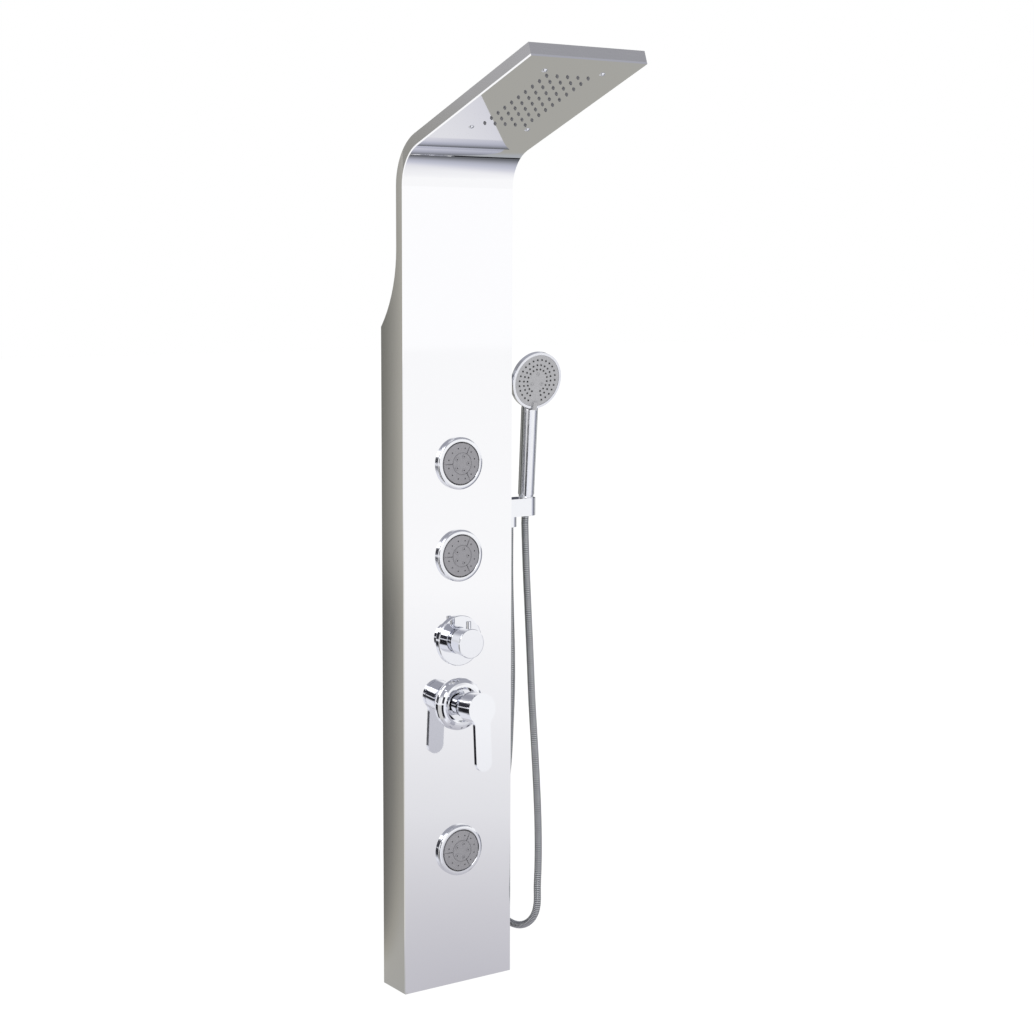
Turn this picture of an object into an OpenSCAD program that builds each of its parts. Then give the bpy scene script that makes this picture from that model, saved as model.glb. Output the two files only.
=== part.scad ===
// Shower panel column: a tall mirror-faced steel column that bends forward into
// a rain head, with three body jets, a diverter, a single-lever mixer and a
// handset on a ribbed hose.
// Frame: X to the right seen from the front, Y into the wall, Z up. The origin
// is on the wall plane, under the middle of the column's lower edge.

/* [Column] */
// Width across the column and its head
column_w = 200; // [180:1:240]
// Depth of the lower column, from the mirror face to the wall
column_d = 66; // [60:1:90]
// Height at which the mirror face starts to bend forward
bend_z = 1263; // [1230:1:1400]
// Radius of the bend, at the mirror face
bend_r = 61; // [45:1:120]
// Slope of the head above level, in degrees
head_slope = 20; // [12:1:35]
// Straight length of the head past the bend
head_l = 314; // [300:1:380]
// Thickness of the head and of the slim upper column
head_t = 20; // [19:0.5:24]
// Height where the rear leaves the wall
waist_low_z = 1050; // [1030:1:1080]
// Height where the rear reaches the slim thickness
waist_high_z = 1170; // [1140:1:1200]
// Thickness of the steel sheet
sheet_t = 1.2; // [1:0.1:1.5]
// Height of the lip folded back round the mirror sheet
lip_h = 3; // [2.6:0.1:4]
// Width of the flanges folded in from the side plates
flange_w = 13; // [11:0.5:15]
// Height of the bottom cap's rear flange
cap_flange_h = 15; // [10:1:20]

/* [Wall mounting] */
// Height of the lower wall bracket's middle
low_rail_z = 130; // [100:1:150]
// Height of the upper wall bracket's middle
high_rail_z = 990; // [930:1:1000]
// Height of a rail across the back
rail_h = 44; // [40:1:50]
// Width of a wall bracket
wall_bracket_w = 150; // [140:1:156]
// Height of a wall bracket
wall_bracket_h = 30; // [26:1:34]
// Spacing of the two wall screws of a bracket
wall_hole_spacing = 120; // [110:1:126]
// Radius of a wall screw's hole
wall_hole_r = 3.2; // [2.5:0.1:4]
// Spacing of the two hooks of a bracket
hook_spacing = 76; // [60:1:86]
// Width of a hook
hook_w = 10; // [8:0.5:14]
// Reach of a hook in front of its bracket
hook_reach = 4.6; // [4.2:0.1:6]
// Length of the upstand on a hook
hook_up = 8; // [6:0.5:10]

/* [Rain head] */
// Number of nozzles across the head
nozzle_columns = 5; // [3:1:5]
// Number of nozzles along the head
nozzle_rows = 10; // [6:1:10]
// Spacing of the nozzles across the head
nozzle_pitch_x = 18; // [16:0.5:19]
// Spacing of the nozzles along the head
nozzle_pitch_u = 18.4; // [16:0.2:19]
// Distance of the nozzle field's middle from the end of the bend
nozzle_mid_u = 174; // [170:1:180]
// Radius of a nozzle where it passes the mirror sheet
nozzle_r = 2.2; // [1.8:0.1:2.6]
// Height of a nozzle below the mirror sheet
nozzle_h = 2.6; // [1:0.1:3]
// Spacing of the four head screws across the head
head_screw_x = 100; // [96:1:104]
// Spacing of the four head screws along the head
head_screw_u = 197; // [194:1:204]
// Radius of a head screw's domed head
head_screw_r = 4.6; // [4:0.1:5.5]

/* [Body jets] */
// Height of the upper body jet
upper_jet_z = 839; // [830:1:860]
// Height of the middle body jet
middle_jet_z = 694; // [684:1:710]
// Height of the lower body jet
lower_jet_z = 220; // [210:1:260]
// Outer radius of a jet's bezel
jet_bezel_r = 41; // [39.5:0.5:46]
// Radius of a jet's swivelling face
jet_face_r = 32.4; // [30:0.1:32.6]
// Inner radius of a jet's cup
jet_cup_r = 33.2; // [33:0.1:34]
// Height of a jet's bezel above the mirror face
jet_bezel_h = 7.4; // [7:0.1:9]

/* [Diverter] */
// Height of the diverter
diverter_z = 559; // [550:1:580]
// Radius of the diverter's escutcheon
diverter_plate_r = 40; // [36:0.5:46]
// Radius of the diverter's knob
diverter_knob_r = 23.4; // [21:0.1:26]
// Distance from the mirror face to the front of the knob
diverter_knob_reach = 37.3; // [35:0.1:42]
// Radius of the peg on the knob
diverter_peg_r = 4; // [3:0.1:5]
// Height of the peg above the knob's rim
diverter_peg_h = 12; // [8:0.5:15]

/* [Mixer] */
// Height of the mixer
mixer_z = 457; // [440:1:460]
// Radius of the mixer's escutcheon
mixer_plate_r = 42; // [40:0.5:48]
// Radius of the lever's hub
lever_hub_r = 24.6; // [22:0.1:26]
// Distance from the mirror face to the front of the lever
lever_reach = 68; // [64:1:75]
// Distance from the hub's middle to the lever's tip
lever_l = 98; // [80:1:120]
// Width of the lever's blade
lever_w = 28.5; // [22:0.5:34]
// Thickness of the lever's blade
lever_t = 6.5; // [5:0.5:9]
// Spacing of the hot and cold inlets
inlet_spacing = 52; // [50:1:60]
// Outer radius of an inlet's half-inch pipe thread
inlet_r = 10.48; // [10.48:0.01:10.6]
// Threaded length of an inlet
inlet_l = 14; // [12:0.5:18]

/* [Handset and its holder] */
// Distance from the side plate to the middle of the holder's socket
holder_reach = 47.5; // [46:0.5:56]
// Radius of the holder's round end
holder_r = 15; // [14.6:0.1:17]
// Height of the holder's underside
holder_z = 745; // [738:1:752]
// Height of the holder's arm
holder_h = 28.5; // [27:0.5:29]
// Lean of the handset's handle, in degrees
handle_lean = 3.7; // [3.2:0.1:4.2]
// Radius of the handle at its lower end
handle_r = 13; // [12.8:0.1:14]
// Distance from the handle's lower end to the middle of the spray face
handset_head_h = 185.6; // [180:0.1:200]
// Forward offset of the spray face from the handle's axis
handset_head_fwd = 16.5; // [16:0.1:18]
// Tilt of the spray face below level, in degrees
handset_tilt = 12; // [8:0.5:16]
// Outer radius of the handset's rim
handset_rim_r = 46; // [44:0.5:52]
// Radius of the spray face
spray_face_r = 41.6; // [40:0.1:41.8]

/* [Hose] */
// Outside diameter of the ribbed hose
hose_d = 12; // [11:0.5:12]
// Bore of the hose
hose_bore_d = 8; // [6:0.5:8]
// Number of ribs along the hose
hose_ribs = 160; // [80:4:200]

/* [Hidden] */

$fn = 96;
// Overrun of every cut past the face that it opens, as a length and as an angle
cut = 1;
cut_turn = 1;
// Gap between curved faces that move past each other
slip = 0.3;
// Running fit of a shaft in its bore, on the radius
fit = 0.05;

// Bend of the column: its centre, the angle that it turns, and the reach of its wedge
bend_cy = -column_d - bend_r;
bend_turn = 90 - head_slope;
bend_reach = 2 * (bend_r + head_t);
// Place of the end of the bend on the mirror face
bend_end_y = bend_cy + bend_r * cos(bend_turn);
bend_end_z = bend_z + bend_r * sin(bend_turn);
// Radius and centre of the hollow curve behind the waist
waist_d = column_d - head_t;
waist_h = waist_high_z - waist_low_z;
waist_r = (waist_h * waist_h + waist_d * waist_d) / (2 * waist_d);
waist_cy = waist_r - waist_d;

inner_w = column_w - 2 * sheet_t;

// Pipes: outer and inner radius, radius of a bend, and the plane that they run in
pipe_r = 6;
pipe_bore_r = 4.5;
pipe_bend_r = 18;
pipe_depth = 28;
pipe_y = -column_d + pipe_depth;
pipe_nut_r = 9.5;
pipe_nut_l = 12;
// Sideways places of the three risers
jet_riser_x = -58;
rain_riser_x = 46;
handset_riser_x = 64;
// Double bend that brings the rain feed forward into the slim column
swan_z = high_rail_z - rail_h / 2 - 2 * pipe_nut_l;
slim_depth = head_t / 2;
swan_r = (pipe_depth - slim_depth) / 2;

// Jets
jet_zs = [upper_jet_z, middle_jet_z, lower_jet_z];
jet_wall = 1.8;
jet_tube_r = jet_cup_r + jet_wall;
jet_hole_r = jet_tube_r + slip;
jet_bezel_wall = 1.2;
jet_bezel_gap = 0.4;
jet_bezel_edge = 0.6;
jet_bezel_edge_h = 4;
jet_bezel_share = 0.72;
jet_flange_r = jet_bezel_r - jet_bezel_wall - slip;
jet_flange_t = 1.5;
jet_gasket_t = 1;
jet_cup_depth = 16;
jet_floor_t = 3;
jet_rear_r = 12;
jet_rear_wall = 2;
jet_rear_depth = pipe_depth + pipe_r + jet_rear_wall;
jet_pivot_z = 2;
jet_face_back = 4;
jet_face_front = 6;
jet_dome_h = 2;
jet_ball_r = 6;
jet_post_r = 3.5;
jet_post_bore_r = 2.3;
jet_spigot_x = -44;
jet_nut_r = 43;
jet_nut_t = 7;
jet_disc_r = 17;
jet_groove_w = 1.6;
jet_groove_d = 0.9;
jet_ring_r = 24.5;
jet_ring_count = 12;
jet_hole_small_r = 1.2;
jet_swirl_r = 2.9;
jet_swirl_h = 0.8;
jet_swirl_count = 5;
jet_swirl_pcr = 11.4;
jet_nut_notches = 6;
jet_notch_w = 8;
jet_notch_d = 4;

// Diverter
diverter_neck_r = 15;
diverter_main_r = 24;
diverter_port_r = 8;
diverter_rear = 9;
diverter_main_depth = pipe_depth + diverter_port_r + diverter_rear;
diverter_port_reach = 34;
diverter_nut_r = 22;
diverter_nut_t = 3.2;
diverter_plate_h = 5;
diverter_wall = 1.4;
diverter_skirt_r = 19;
diverter_skirt_gap = 0.8;
diverter_skirt_z = diverter_plate_h + diverter_skirt_gap;
diverter_hole_gap = 1;
diverter_step_z = 10.5;
diverter_taper = 1.9;
diverter_spindle_r = 4;
diverter_spindle_in = -18;
diverter_spindle_out = 26;
diverter_edge = 1.6;
diverter_peg_z = 28.5;
diverter_peg_sink = 3;
diverter_peg_top_share = 0.75;

// Mixer
mixer_neck_r = 24;
mixer_bore_r = 17.6;
mixer_bore_depth = 24;
mixer_front_z = 6;
mixer_arm_r = 13;
mixer_rear = 4;
mixer_depth = pipe_depth + mixer_arm_r + mixer_rear;
inlet_collar_t = 2;
inlet_bore_r = 6.5;
mixer_tail_drop = 30;
mixer_outlet_top = 40;
mixer_cartridge_r = 17.5;
mixer_cartridge_neck_r = 13.5;
mixer_carrier_r = 12;
mixer_carrier_low = 2;
mixer_pivot_z = 12;
mixer_collar_in_r = 13.8;
mixer_collar_r = 16;
mixer_collar_flange_r = 25.1;
mixer_collar_flange_t = 3.6;
mixer_collar_z = 18;
mixer_dome_h = 13;
mixer_dome_top_r = 29;
mixer_dome_hole_r = 25.4;
mixer_plate_wall = 1.4;
mixer_stem_r = 4;
mixer_stem_low = 6;
mixer_stem_gap = 2;
mixer_stem_len = 36;
mixer_slot_y = 8;
mixer_pin_r = 1.5;
mixer_pin_inset = 1;
lever_rest_lift = 4;
lever_neck_r = 18.8;
lever_cavity_r = 17.3;
lever_neck_z = 20;
lever_cavity_z = 27;
lever_step_z = 34;
lever_edge = 2;
lever_fillet_r = 14;
lever_fillet_steps = 6;
lever_hub_steps = 48;
lever_tip_steps = 20;
lever_rim = 0.6;
lever_screw_z = 29.6;
lever_screw_r = 2.2;

// Holder and handset
holder_cx = column_w / 2 + holder_reach;
holder_y = pipe_y;
holder_top_z = holder_z + holder_h;
holder_outlet_reach = 16;
holder_outlet_x = column_w / 2 + holder_outlet_reach;
holder_spigot_r = 10.4;
holder_spigot_in = 16;
holder_bore_r = 5;
holder_slot_w = 14;
holder_axis_z = holder_z + holder_h / 2;
holder_nut_r = 15;
holder_nut_t = 5;
nipple_r = 8.6;
nipple_bore_r = 4.5;
nipple_l = 11;
outlet_nut_r = 10.6;
outlet_nut_gap = 0.6;
outlet_nut_top_z = holder_z - outlet_nut_gap;
outlet_nut_l = 16.4;
washer_t = 1.6;
handle_rise = 5.5;
handle_z = holder_top_z + handle_rise;
cone_top_r = 12;
cone_low_r = 10;
cone_l = 35;
cone_gap = 0.35;
cone_bore_r = 8;
cone_spigot_l = 14;
spigot_wall = 2;
handle_l = 137;
handle_top_r = 13.5;
handle_bore_r = 9;
handle_floor_t = 3;
handle_passage_r = 4;
neck_l = 30;
neck_r = 11;
shell_r = 44.4;
shell_wall = 2.4;
shell_front = -1.4;
shell_side = 5;
shell_depth = 23.5;
handle_passage_top = handset_head_h - shell_depth;
rim_front = 1.6;
rim_back = -6.4;
face_front = 1.2;
face_back = -5;
face_post_r = 6;
face_post_l = 12;
spray_ring_shares = [0.45, 0.62, 0.82];
spray_ring_counts = [16, 20, 24];
spray_gap_angle = 30;
spray_nozzle_r = 1.3;
spray_nozzle_h = 0.9;
spray_mat_t = 1.6;
spray_mat_margin = 5;
spray_mat_r = spray_face_r - spray_mat_margin;
mist_count = 3;
mist_share = 0.26;
mist_r = 3.2;
mist_groove_w = 0.7;
mist_groove_d = 0.5;
mist_hole_r = 0.8;
tab_w = 7;
tab_t = 3;
tab_drop = 1.5;

// Hose: a slim rib between two valleys, on 8 sides
hose_sides = 8;
hose_valley = 0.6;
hose_bore_step = 4;
// Straight run at each end of the hose, and its gap to the nut there
hose_end = hose_d;
hose_end_gap = 0.05;
hose_start_pos = [holder_outlet_x, holder_y, outlet_nut_top_z - outlet_nut_l - hose_end_gap];
hose_start_dir = [0, 0, -1];
hose_finish_reach = cone_l + hose_end_gap;
hose_finish_pos = [holder_cx, holder_y + hose_finish_reach * sin(handle_lean),
    handle_z - hose_finish_reach * cos(handle_lean)];
hose_finish_dir = [0, -sin(handle_lean), cos(handle_lean)];
// Route between the two straight ends, chosen by hand
hose_route = [
    [116.1, -37.8, 655], [117.2, -38.8, 590], [118.5, -40.1, 525], [118.6, -40.4, 465],
    [117.5, -38.7, 405], [116.6, -35.7, 350], [114.9, -30.1, 300], [111.8, -22.2, 253],
    [109.2, -15, 210], [107.4, -10, 174], [106.8, -7.8, 144.2], [106.5, -6.4, 116.2],
    [107.9, -12.1, 96.2], [111, -25, 80.8], [115.2, -42.6, 72.2], [119.8, -62.3, 71.7],
    [124, -80.6, 79.5], [127.2, -94.7, 95], [129, -101.1, 116.1], [129.5, -100.8, 146.7],
    [130.4, -101.3, 180], [131, -100.7, 220], [131.7, -97.7, 268], [132.6, -91.8, 324],
    [134.1, -83.4, 384], [136.5, -73, 447], [139.8, -62.8, 515], [143.1, -51.8, 588],
    [146, -41.3, 662]
];

module along_x(from_x, to_x) {
    translate([from_x, 0, 0]) rotate([90, 0, 90]) linear_extrude(to_x - from_x) children();
}

module on_front(z) {
    translate([0, -column_d, z]) rotate([90, 0, 0]) children();
}

module on_head(u) {
    translate([0, bend_end_y, bend_end_z]) rotate([180 - head_slope, 0, 0])
        translate([0, u, 0]) children();
}

// Ring about Z between two radii
module ring(outer_r, inner_r, low, high) {
    difference() {
        translate([0, 0, low]) cylinder(h = high - low, r = outer_r);
        translate([0, 0, low - cut]) cylinder(h = high - low + 2 * cut, r = inner_r);
    }
}

// Rod of radius r from one place to another along an axis: "x", "y" or "z"
module rod(r, from, to, axis = "z") {
    turn = axis == "x" ? [0, 90, 0] : axis == "y" ? [-90, 0, 0] : [0, 0, 0];
    rotate(turn) translate([0, 0, from]) cylinder(h = to - from, r = r);
}

// Everything in front of the surface that lies a depth behind the mirror face, in Y and Z
// about the centre of the bend: down to low_z, and along the head for length l
module front_space(depth, low_z, l, extra = 0) {
    r = bend_r + depth;
    out = [cos(bend_turn), sin(bend_turn)];
    along = [-sin(bend_turn), cos(bend_turn)];
    far = bend_reach + extra;
    low = low_z - bend_z - extra;
    polygon([[r, low], [r, 0], r * out, r * out + (l + extra) * along,
        (r - far) * out + (l + extra) * along, [-far, low]]);
    circle(r);
}

// Section of the column, in Y and Z, between two depths behind the mirror face
module band(from_d, to_d, low_z, end_gap) {
    translate([bend_cy, bend_z]) difference() {
        front_space(to_d, low_z, head_l - end_gap);
        front_space(from_d, low_z, head_l - end_gap, cut);
    }
}

// Outline of the side, from the folded lip back to the wall
module side_outline(front_d, low_z, end_gap) {
    band(front_d, head_t, low_z, end_gap);
    difference() {
        translate([-column_d + front_d, low_z]) square([column_d - front_d, waist_high_z - low_z]);
        intersection() {
            translate([waist_cy, waist_high_z]) circle(waist_r);
            translate([-column_d, waist_low_z]) square([column_d + cut, waist_h]);
        }
    }
}

// Hollow curve of the rear, one sheet thick
module waist_skin() {
    difference() {
        translate([-column_d + head_t - sheet_t, waist_low_z])
            square([waist_d + sheet_t, waist_h]);
        translate([waist_cy, waist_high_z]) circle(waist_r);
        difference() {
            translate([-column_d, waist_low_z - cut]) square([column_d, waist_h + 2 * cut]);
            translate([waist_cy, waist_high_z]) circle(waist_r + sheet_t);
        }
    }
}

module head_grid(columns, rows, pitch_x, pitch_u, mid_u) {
    for (i = [0:columns - 1], j = [0:rows - 1])
        on_head(mid_u + (j - (rows - 1) / 2) * pitch_u)
            translate([(i - (columns - 1) / 2) * pitch_x, 0, 0]) children();
}

module nozzle_places() {
    head_grid(nozzle_columns, nozzle_rows, nozzle_pitch_x, nozzle_pitch_u, nozzle_mid_u)
        children();
}

module head_screw_places() {
    head_grid(2, 2, head_screw_x, head_screw_u, nozzle_mid_u) children();
}

head_screw_hole_r = 1.9;
nozzle_clear = 0.25;
// Seating gap of what lies flat on the sheet inside the head
head_seat = 0.02;
head_seat_z = -sheet_t - head_seat;

module front_panel() {
    color("gainsboro") difference() {
        along_x(-column_w / 2, column_w / 2) band(0, lip_h, 0, 0);
        along_x(-inner_w / 2, inner_w / 2) band(sheet_t, lip_h + cut, sheet_t, sheet_t);
        for (z = jet_zs)
            on_front(z) rod(jet_hole_r, -sheet_t - cut, cut);
        on_front(diverter_z) rod(diverter_neck_r + slip, -sheet_t - cut, cut);
        on_front(mixer_z) rod(mixer_neck_r + slip, -sheet_t - cut, cut);
        nozzle_places() rod(nozzle_r + nozzle_clear, -sheet_t - cut, cut);
        head_screw_places() rod(head_screw_hole_r, -sheet_t - cut, cut);
    }
}

// Side plate on the right-hand side: wall, joggled front flange and rear flange
module side_plate() {
    along_x(inner_w / 2, column_w / 2) side_outline(lip_h, 0, 0);
    along_x(inner_w / 2 - sheet_t, inner_w / 2)
        band(sheet_t, lip_h + sheet_t, sheet_t, sheet_t);
    along_x(inner_w / 2 - flange_w, inner_w / 2 - sheet_t)
        band(sheet_t, 2 * sheet_t, sheet_t, sheet_t);
    along_x(inner_w / 2 - flange_w, inner_w / 2)
        translate([-sheet_t, cap_flange_h + slip])
            square([sheet_t, waist_low_z - cap_flange_h - slip]);
}

module rail_screw_places() {
    for (z = [low_rail_z, high_rail_z], side = [-1, 1], up = [-1, 1])
        translate([side * (inner_w / 2 - flange_w / 2), 0, z + up * rail_h / 4]) children();
}

rail_screw_r = 1.9;
rail_screw_head_r = 3.6;
rail_screw_head_h = 2.2;

module left_side_plate() {
    color("silver") difference() {
        mirror([1, 0, 0]) side_plate();
        rail_screw_places() rod(rail_screw_r + fit, -sheet_t - cut, cut, "y");
    }
}

module right_side_plate() {
    color("silver") difference() {
        side_plate();
        translate([0, holder_y, holder_axis_z])
            rod(holder_spigot_r + slip, inner_w / 2 - cut, column_w / 2 + cut, "x");
        rail_screw_places() rod(rail_screw_r + fit, -sheet_t - cut, cut, "y");
    }
}

module back_cover() {
    color("silver") {
        along_x(-inner_w / 2, inner_w / 2) {
            waist_skin();
            band(head_t - sheet_t, head_t, waist_high_z, sheet_t);
        }
    }
}

module head_tip_plate() {
    color("silver") on_head(head_l)
        translate([-inner_w / 2, -sheet_t, -head_t])
            cube([inner_w, sheet_t, head_t - lip_h]);
}

cap_notch_w = 12;
cap_notch_d = 8;

module bottom_cap() {
    color("dimgray") difference() {
        translate([-inner_w / 2, -column_d + lip_h, 0]) {
            cube([inner_w, column_d - lip_h, sheet_t]);
            translate([0, column_d - lip_h - sheet_t, 0]) cube([inner_w, sheet_t, cap_flange_h]);
        }
        translate([-inner_w / 2 - cut, -cap_flange_h, -cut])
            cube([cap_notch_w + cut, cap_notch_d, sheet_t + 2 * cut]);
    }
}

hook_t = 2;
hook_slot_drop = 12;

// Rail across the back, screwed to the rear flanges, with a slot for each hook
module rail(z) {
    difference() {
        translate([-inner_w / 2, -2 * sheet_t, z - rail_h / 2]) cube([inner_w, sheet_t, rail_h]);
        for (side = [-1, 1])
            translate([side * hook_spacing / 2 - hook_w / 2 - slip, -2 * sheet_t - cut,
                    z + hook_t / 2 - hook_slot_drop])
                cube([hook_w + 2 * slip, sheet_t + 2 * cut, hook_slot_drop]);
        rail_screw_places() rod(rail_screw_r + fit, -2 * sheet_t - cut, cut, "y");
    }
}

module upper_rail() {
    color("silver") rail(high_rail_z);
}

module lower_rail() {
    color("silver") rail(low_rail_z);
}

// Wall bracket: flat plate with two wall holes and two hooks that carry a rail
module wall_bracket(z) {
    difference() {
        translate([-wall_bracket_w / 2, -sheet_t, z - wall_bracket_h / 2])
            cube([wall_bracket_w, sheet_t, wall_bracket_h]);
        for (side = [-1, 1])
            translate([side * wall_hole_spacing / 2, 0, z])
                rod(wall_hole_r, -sheet_t - cut, cut, "y");
    }
    for (side = [-1, 1])
        translate([side * hook_spacing / 2 - hook_w / 2, -sheet_t - hook_reach, z - hook_t / 2]) {
            cube([hook_w, hook_reach, hook_t]);
            cube([hook_w, hook_t, hook_up + hook_t]);
        }
}

module upper_wall_bracket() {
    color("darkgray") wall_bracket(high_rail_z);
}

module lower_wall_bracket() {
    color("darkgray") wall_bracket(low_rail_z);
}

module rail_screws() {
    color("lightgray") rail_screw_places() {
        rod(rail_screw_r, -2 * sheet_t, 0, "y");
        rod(rail_screw_head_r, -2 * sheet_t - rail_screw_head_h, -2 * sheet_t, "y");
    }
}

mat_t = 1.5;
mat_margin = 10;
nozzle_foot_share = 0.15;
nozzle_tip_share = 0.62;
nozzle_bore_share = 0.33;
mat_w = (nozzle_columns - 1) * nozzle_pitch_x + 2 * mat_margin;
mat_l = (nozzle_rows - 1) * nozzle_pitch_u + 2 * mat_margin;
chamber_margin = 8;
chamber_w = head_screw_x + 2 * chamber_margin;
chamber_l = head_screw_u + 2 * chamber_margin;
chamber_gap = 2;
chamber_h = head_t - 2 * sheet_t - chamber_gap;
chamber_wall = 2;
chamber_low_u = nozzle_mid_u - chamber_l / 2;
chamber_inset = 5;

// Plastic water chamber behind the nozzle mat, screwed up from below
module rain_chamber() {
    color("whitesmoke") difference() {
        union() {
            on_head(nozzle_mid_u) translate([-chamber_w / 2, -chamber_l / 2, head_seat_z - chamber_h])
                cube([chamber_w, chamber_l, chamber_h]);
            on_head(0) translate([rain_riser_x, 0, -slim_depth])
                rod(pipe_r, 0, chamber_low_u + cut, "y");
        }
        on_head(nozzle_mid_u) translate([-mat_w / 2, -mat_l / 2, head_seat_z - mat_t])
            cube([mat_w, mat_l, mat_t + cut]);
        on_head(nozzle_mid_u) translate([-mat_w / 2 + chamber_inset, -mat_l / 2 + chamber_inset,
                head_seat_z - chamber_h + chamber_wall])
            cube([mat_w - 2 * chamber_inset, mat_l - 2 * chamber_inset,
                chamber_h - chamber_wall]);
        on_head(0) translate([rain_riser_x, 0, -slim_depth])
            rod(pipe_bore_r, -cut, chamber_low_u + 2 * chamber_margin, "y");
        on_head(0) translate([mat_w / 2 - 2 * chamber_inset, chamber_low_u + chamber_margin,
                -slim_depth - pipe_bore_r])
            cube([rain_riser_x - mat_w / 2 + 2 * chamber_inset, 2 * chamber_margin,
                2 * pipe_bore_r]);
        head_screw_places() rod(head_screw_hole_r - fit, -sheet_t - chamber_h / 2, cut);
    }
}

// Silicone mat with one nub for each hole of the mirror sheet
module nozzle_mat() {
    color("dimgray") {
        on_head(nozzle_mid_u) translate([-mat_w / 2, -mat_l / 2, head_seat_z - mat_t])
            cube([mat_w, mat_l, mat_t]);
        nozzle_places() difference() {
            rotate_extrude() polygon([
                [0, head_seat_z - mat_t / 2], [nozzle_r, head_seat_z - mat_t / 2],
                [nozzle_r, nozzle_h * nozzle_foot_share],
                [nozzle_r * nozzle_tip_share, nozzle_h], [0, nozzle_h]]);
            rod(nozzle_r * nozzle_bore_share, nozzle_h / 3, nozzle_h + cut);
        }
    }
}

head_screw_h = 2.4;
head_screw_shank_r = 1.7;
head_screw_socket_r = 1.5;

module rain_head_screws() {
    dome_r = (head_screw_r * head_screw_r + head_screw_h * head_screw_h) / (2 * head_screw_h);
    color("lightgray") head_screw_places() {
        rod(head_screw_shank_r, -sheet_t - chamber_h / 2 + fit, 0);
        difference() {
            intersection() {
                translate([0, 0, head_screw_h - dome_r]) sphere(dome_r);
                rod(head_screw_r, 0, head_screw_h);
            }
            rod(head_screw_socket_r, head_screw_h / 2, head_screw_h + cut);
        }
    }
}

// Rod that runs straight and bends by turns: each step holds a straight length, then
// the angle, the radius and the roll of the bend that follows it
module run(steps, r, i = 0) {
    if (i < len(steps)) {
        straight = steps[i][0];
        angle = steps[i][1];
        radius = steps[i][2];
        roll = steps[i][3];
        if (straight > 0) cylinder(h = straight, r = r);
        translate([0, 0, straight]) rotate([0, 0, roll]) {
            if (angle > 0)
                translate([radius, 0, 0]) rotate([90, 0, 180])
                    rotate_extrude(angle = angle) translate([radius, 0]) circle(r);
            translate([radius, 0, 0]) rotate([0, angle, 0]) translate([-radius, 0, 0])
                rotate([0, 0, -roll]) run(steps, r, i + 1);
        }
    }
}

// Steps of a bore: longer at the start, and longer or turned further at the end
function longer(steps) = [
    for (i = [0:len(steps) - 1])
        let (last = i == len(steps) - 1, turns = steps[i][1] > 0)
            [steps[i][0] + (i == 0 ? cut : 0) + (last && !turns ? cut : 0),
                steps[i][1] + (last && turns ? cut_turn : 0), steps[i][2], steps[i][3]]
];

module pipe(steps) {
    difference() {
        run(steps, pipe_r);
        translate([0, 0, -cut]) run(longer(steps), pipe_bore_r);
    }
}

function level(length) = [length, 0, 0, 0];

diverter_top_z = diverter_z + diverter_port_reach;
feed_rise = 4;

// From the diverter's top port across to its riser and up past the jets
module rain_feed_lower() {
    color("white") translate([0, pipe_y, diverter_top_z]) pipe([
        [feed_rise, 90, pipe_bend_r, 0],
        [rain_riser_x - 2 * pipe_bend_r, 90, pipe_bend_r, 180],
        level(swan_z - diverter_top_z - feed_rise - 2 * pipe_bend_r)
    ]);
}

// Forward into the slim column and round the bend to the rain chamber's inlet
module rain_feed_upper() {
    swan_top_z = swan_z + pipe_nut_l + 2 * swan_r;
    color("white") translate([rain_riser_x, pipe_y, swan_z]) pipe([
        [pipe_nut_l, 90, swan_r, -90],
        [0, 90, swan_r, 90],
        [bend_z - swan_top_z, bend_turn, bend_r + slim_depth, -90]
    ]);
}

module rain_feed_coupling() {
    color("goldenrod") translate([rain_riser_x, pipe_y, swan_z])
        ring(pipe_nut_r, pipe_r + fit, -pipe_nut_l, pipe_nut_l);
}

module jet_bezel() {
    rim = jet_bezel_r;
    inside = jet_cup_r + jet_bezel_gap;
    low = jet_bezel_edge_h;
    shoulder = [for (a = [0:15:90])
        [rim - (rim - inside) * jet_bezel_share * (1 - cos(a)), low + (jet_bezel_h - low) * sin(a)]];
    rotate_extrude() polygon(concat(
        [[rim, 0]], shoulder,
        [[inside + jet_bezel_edge, jet_bezel_h], [inside, jet_bezel_h - jet_bezel_edge],
            [inside, jet_gasket_t + jet_flange_t + slip],
            [jet_flange_r + slip, jet_gasket_t + jet_flange_t + slip], [jet_flange_r + slip, 0]]
    ));
}

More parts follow.
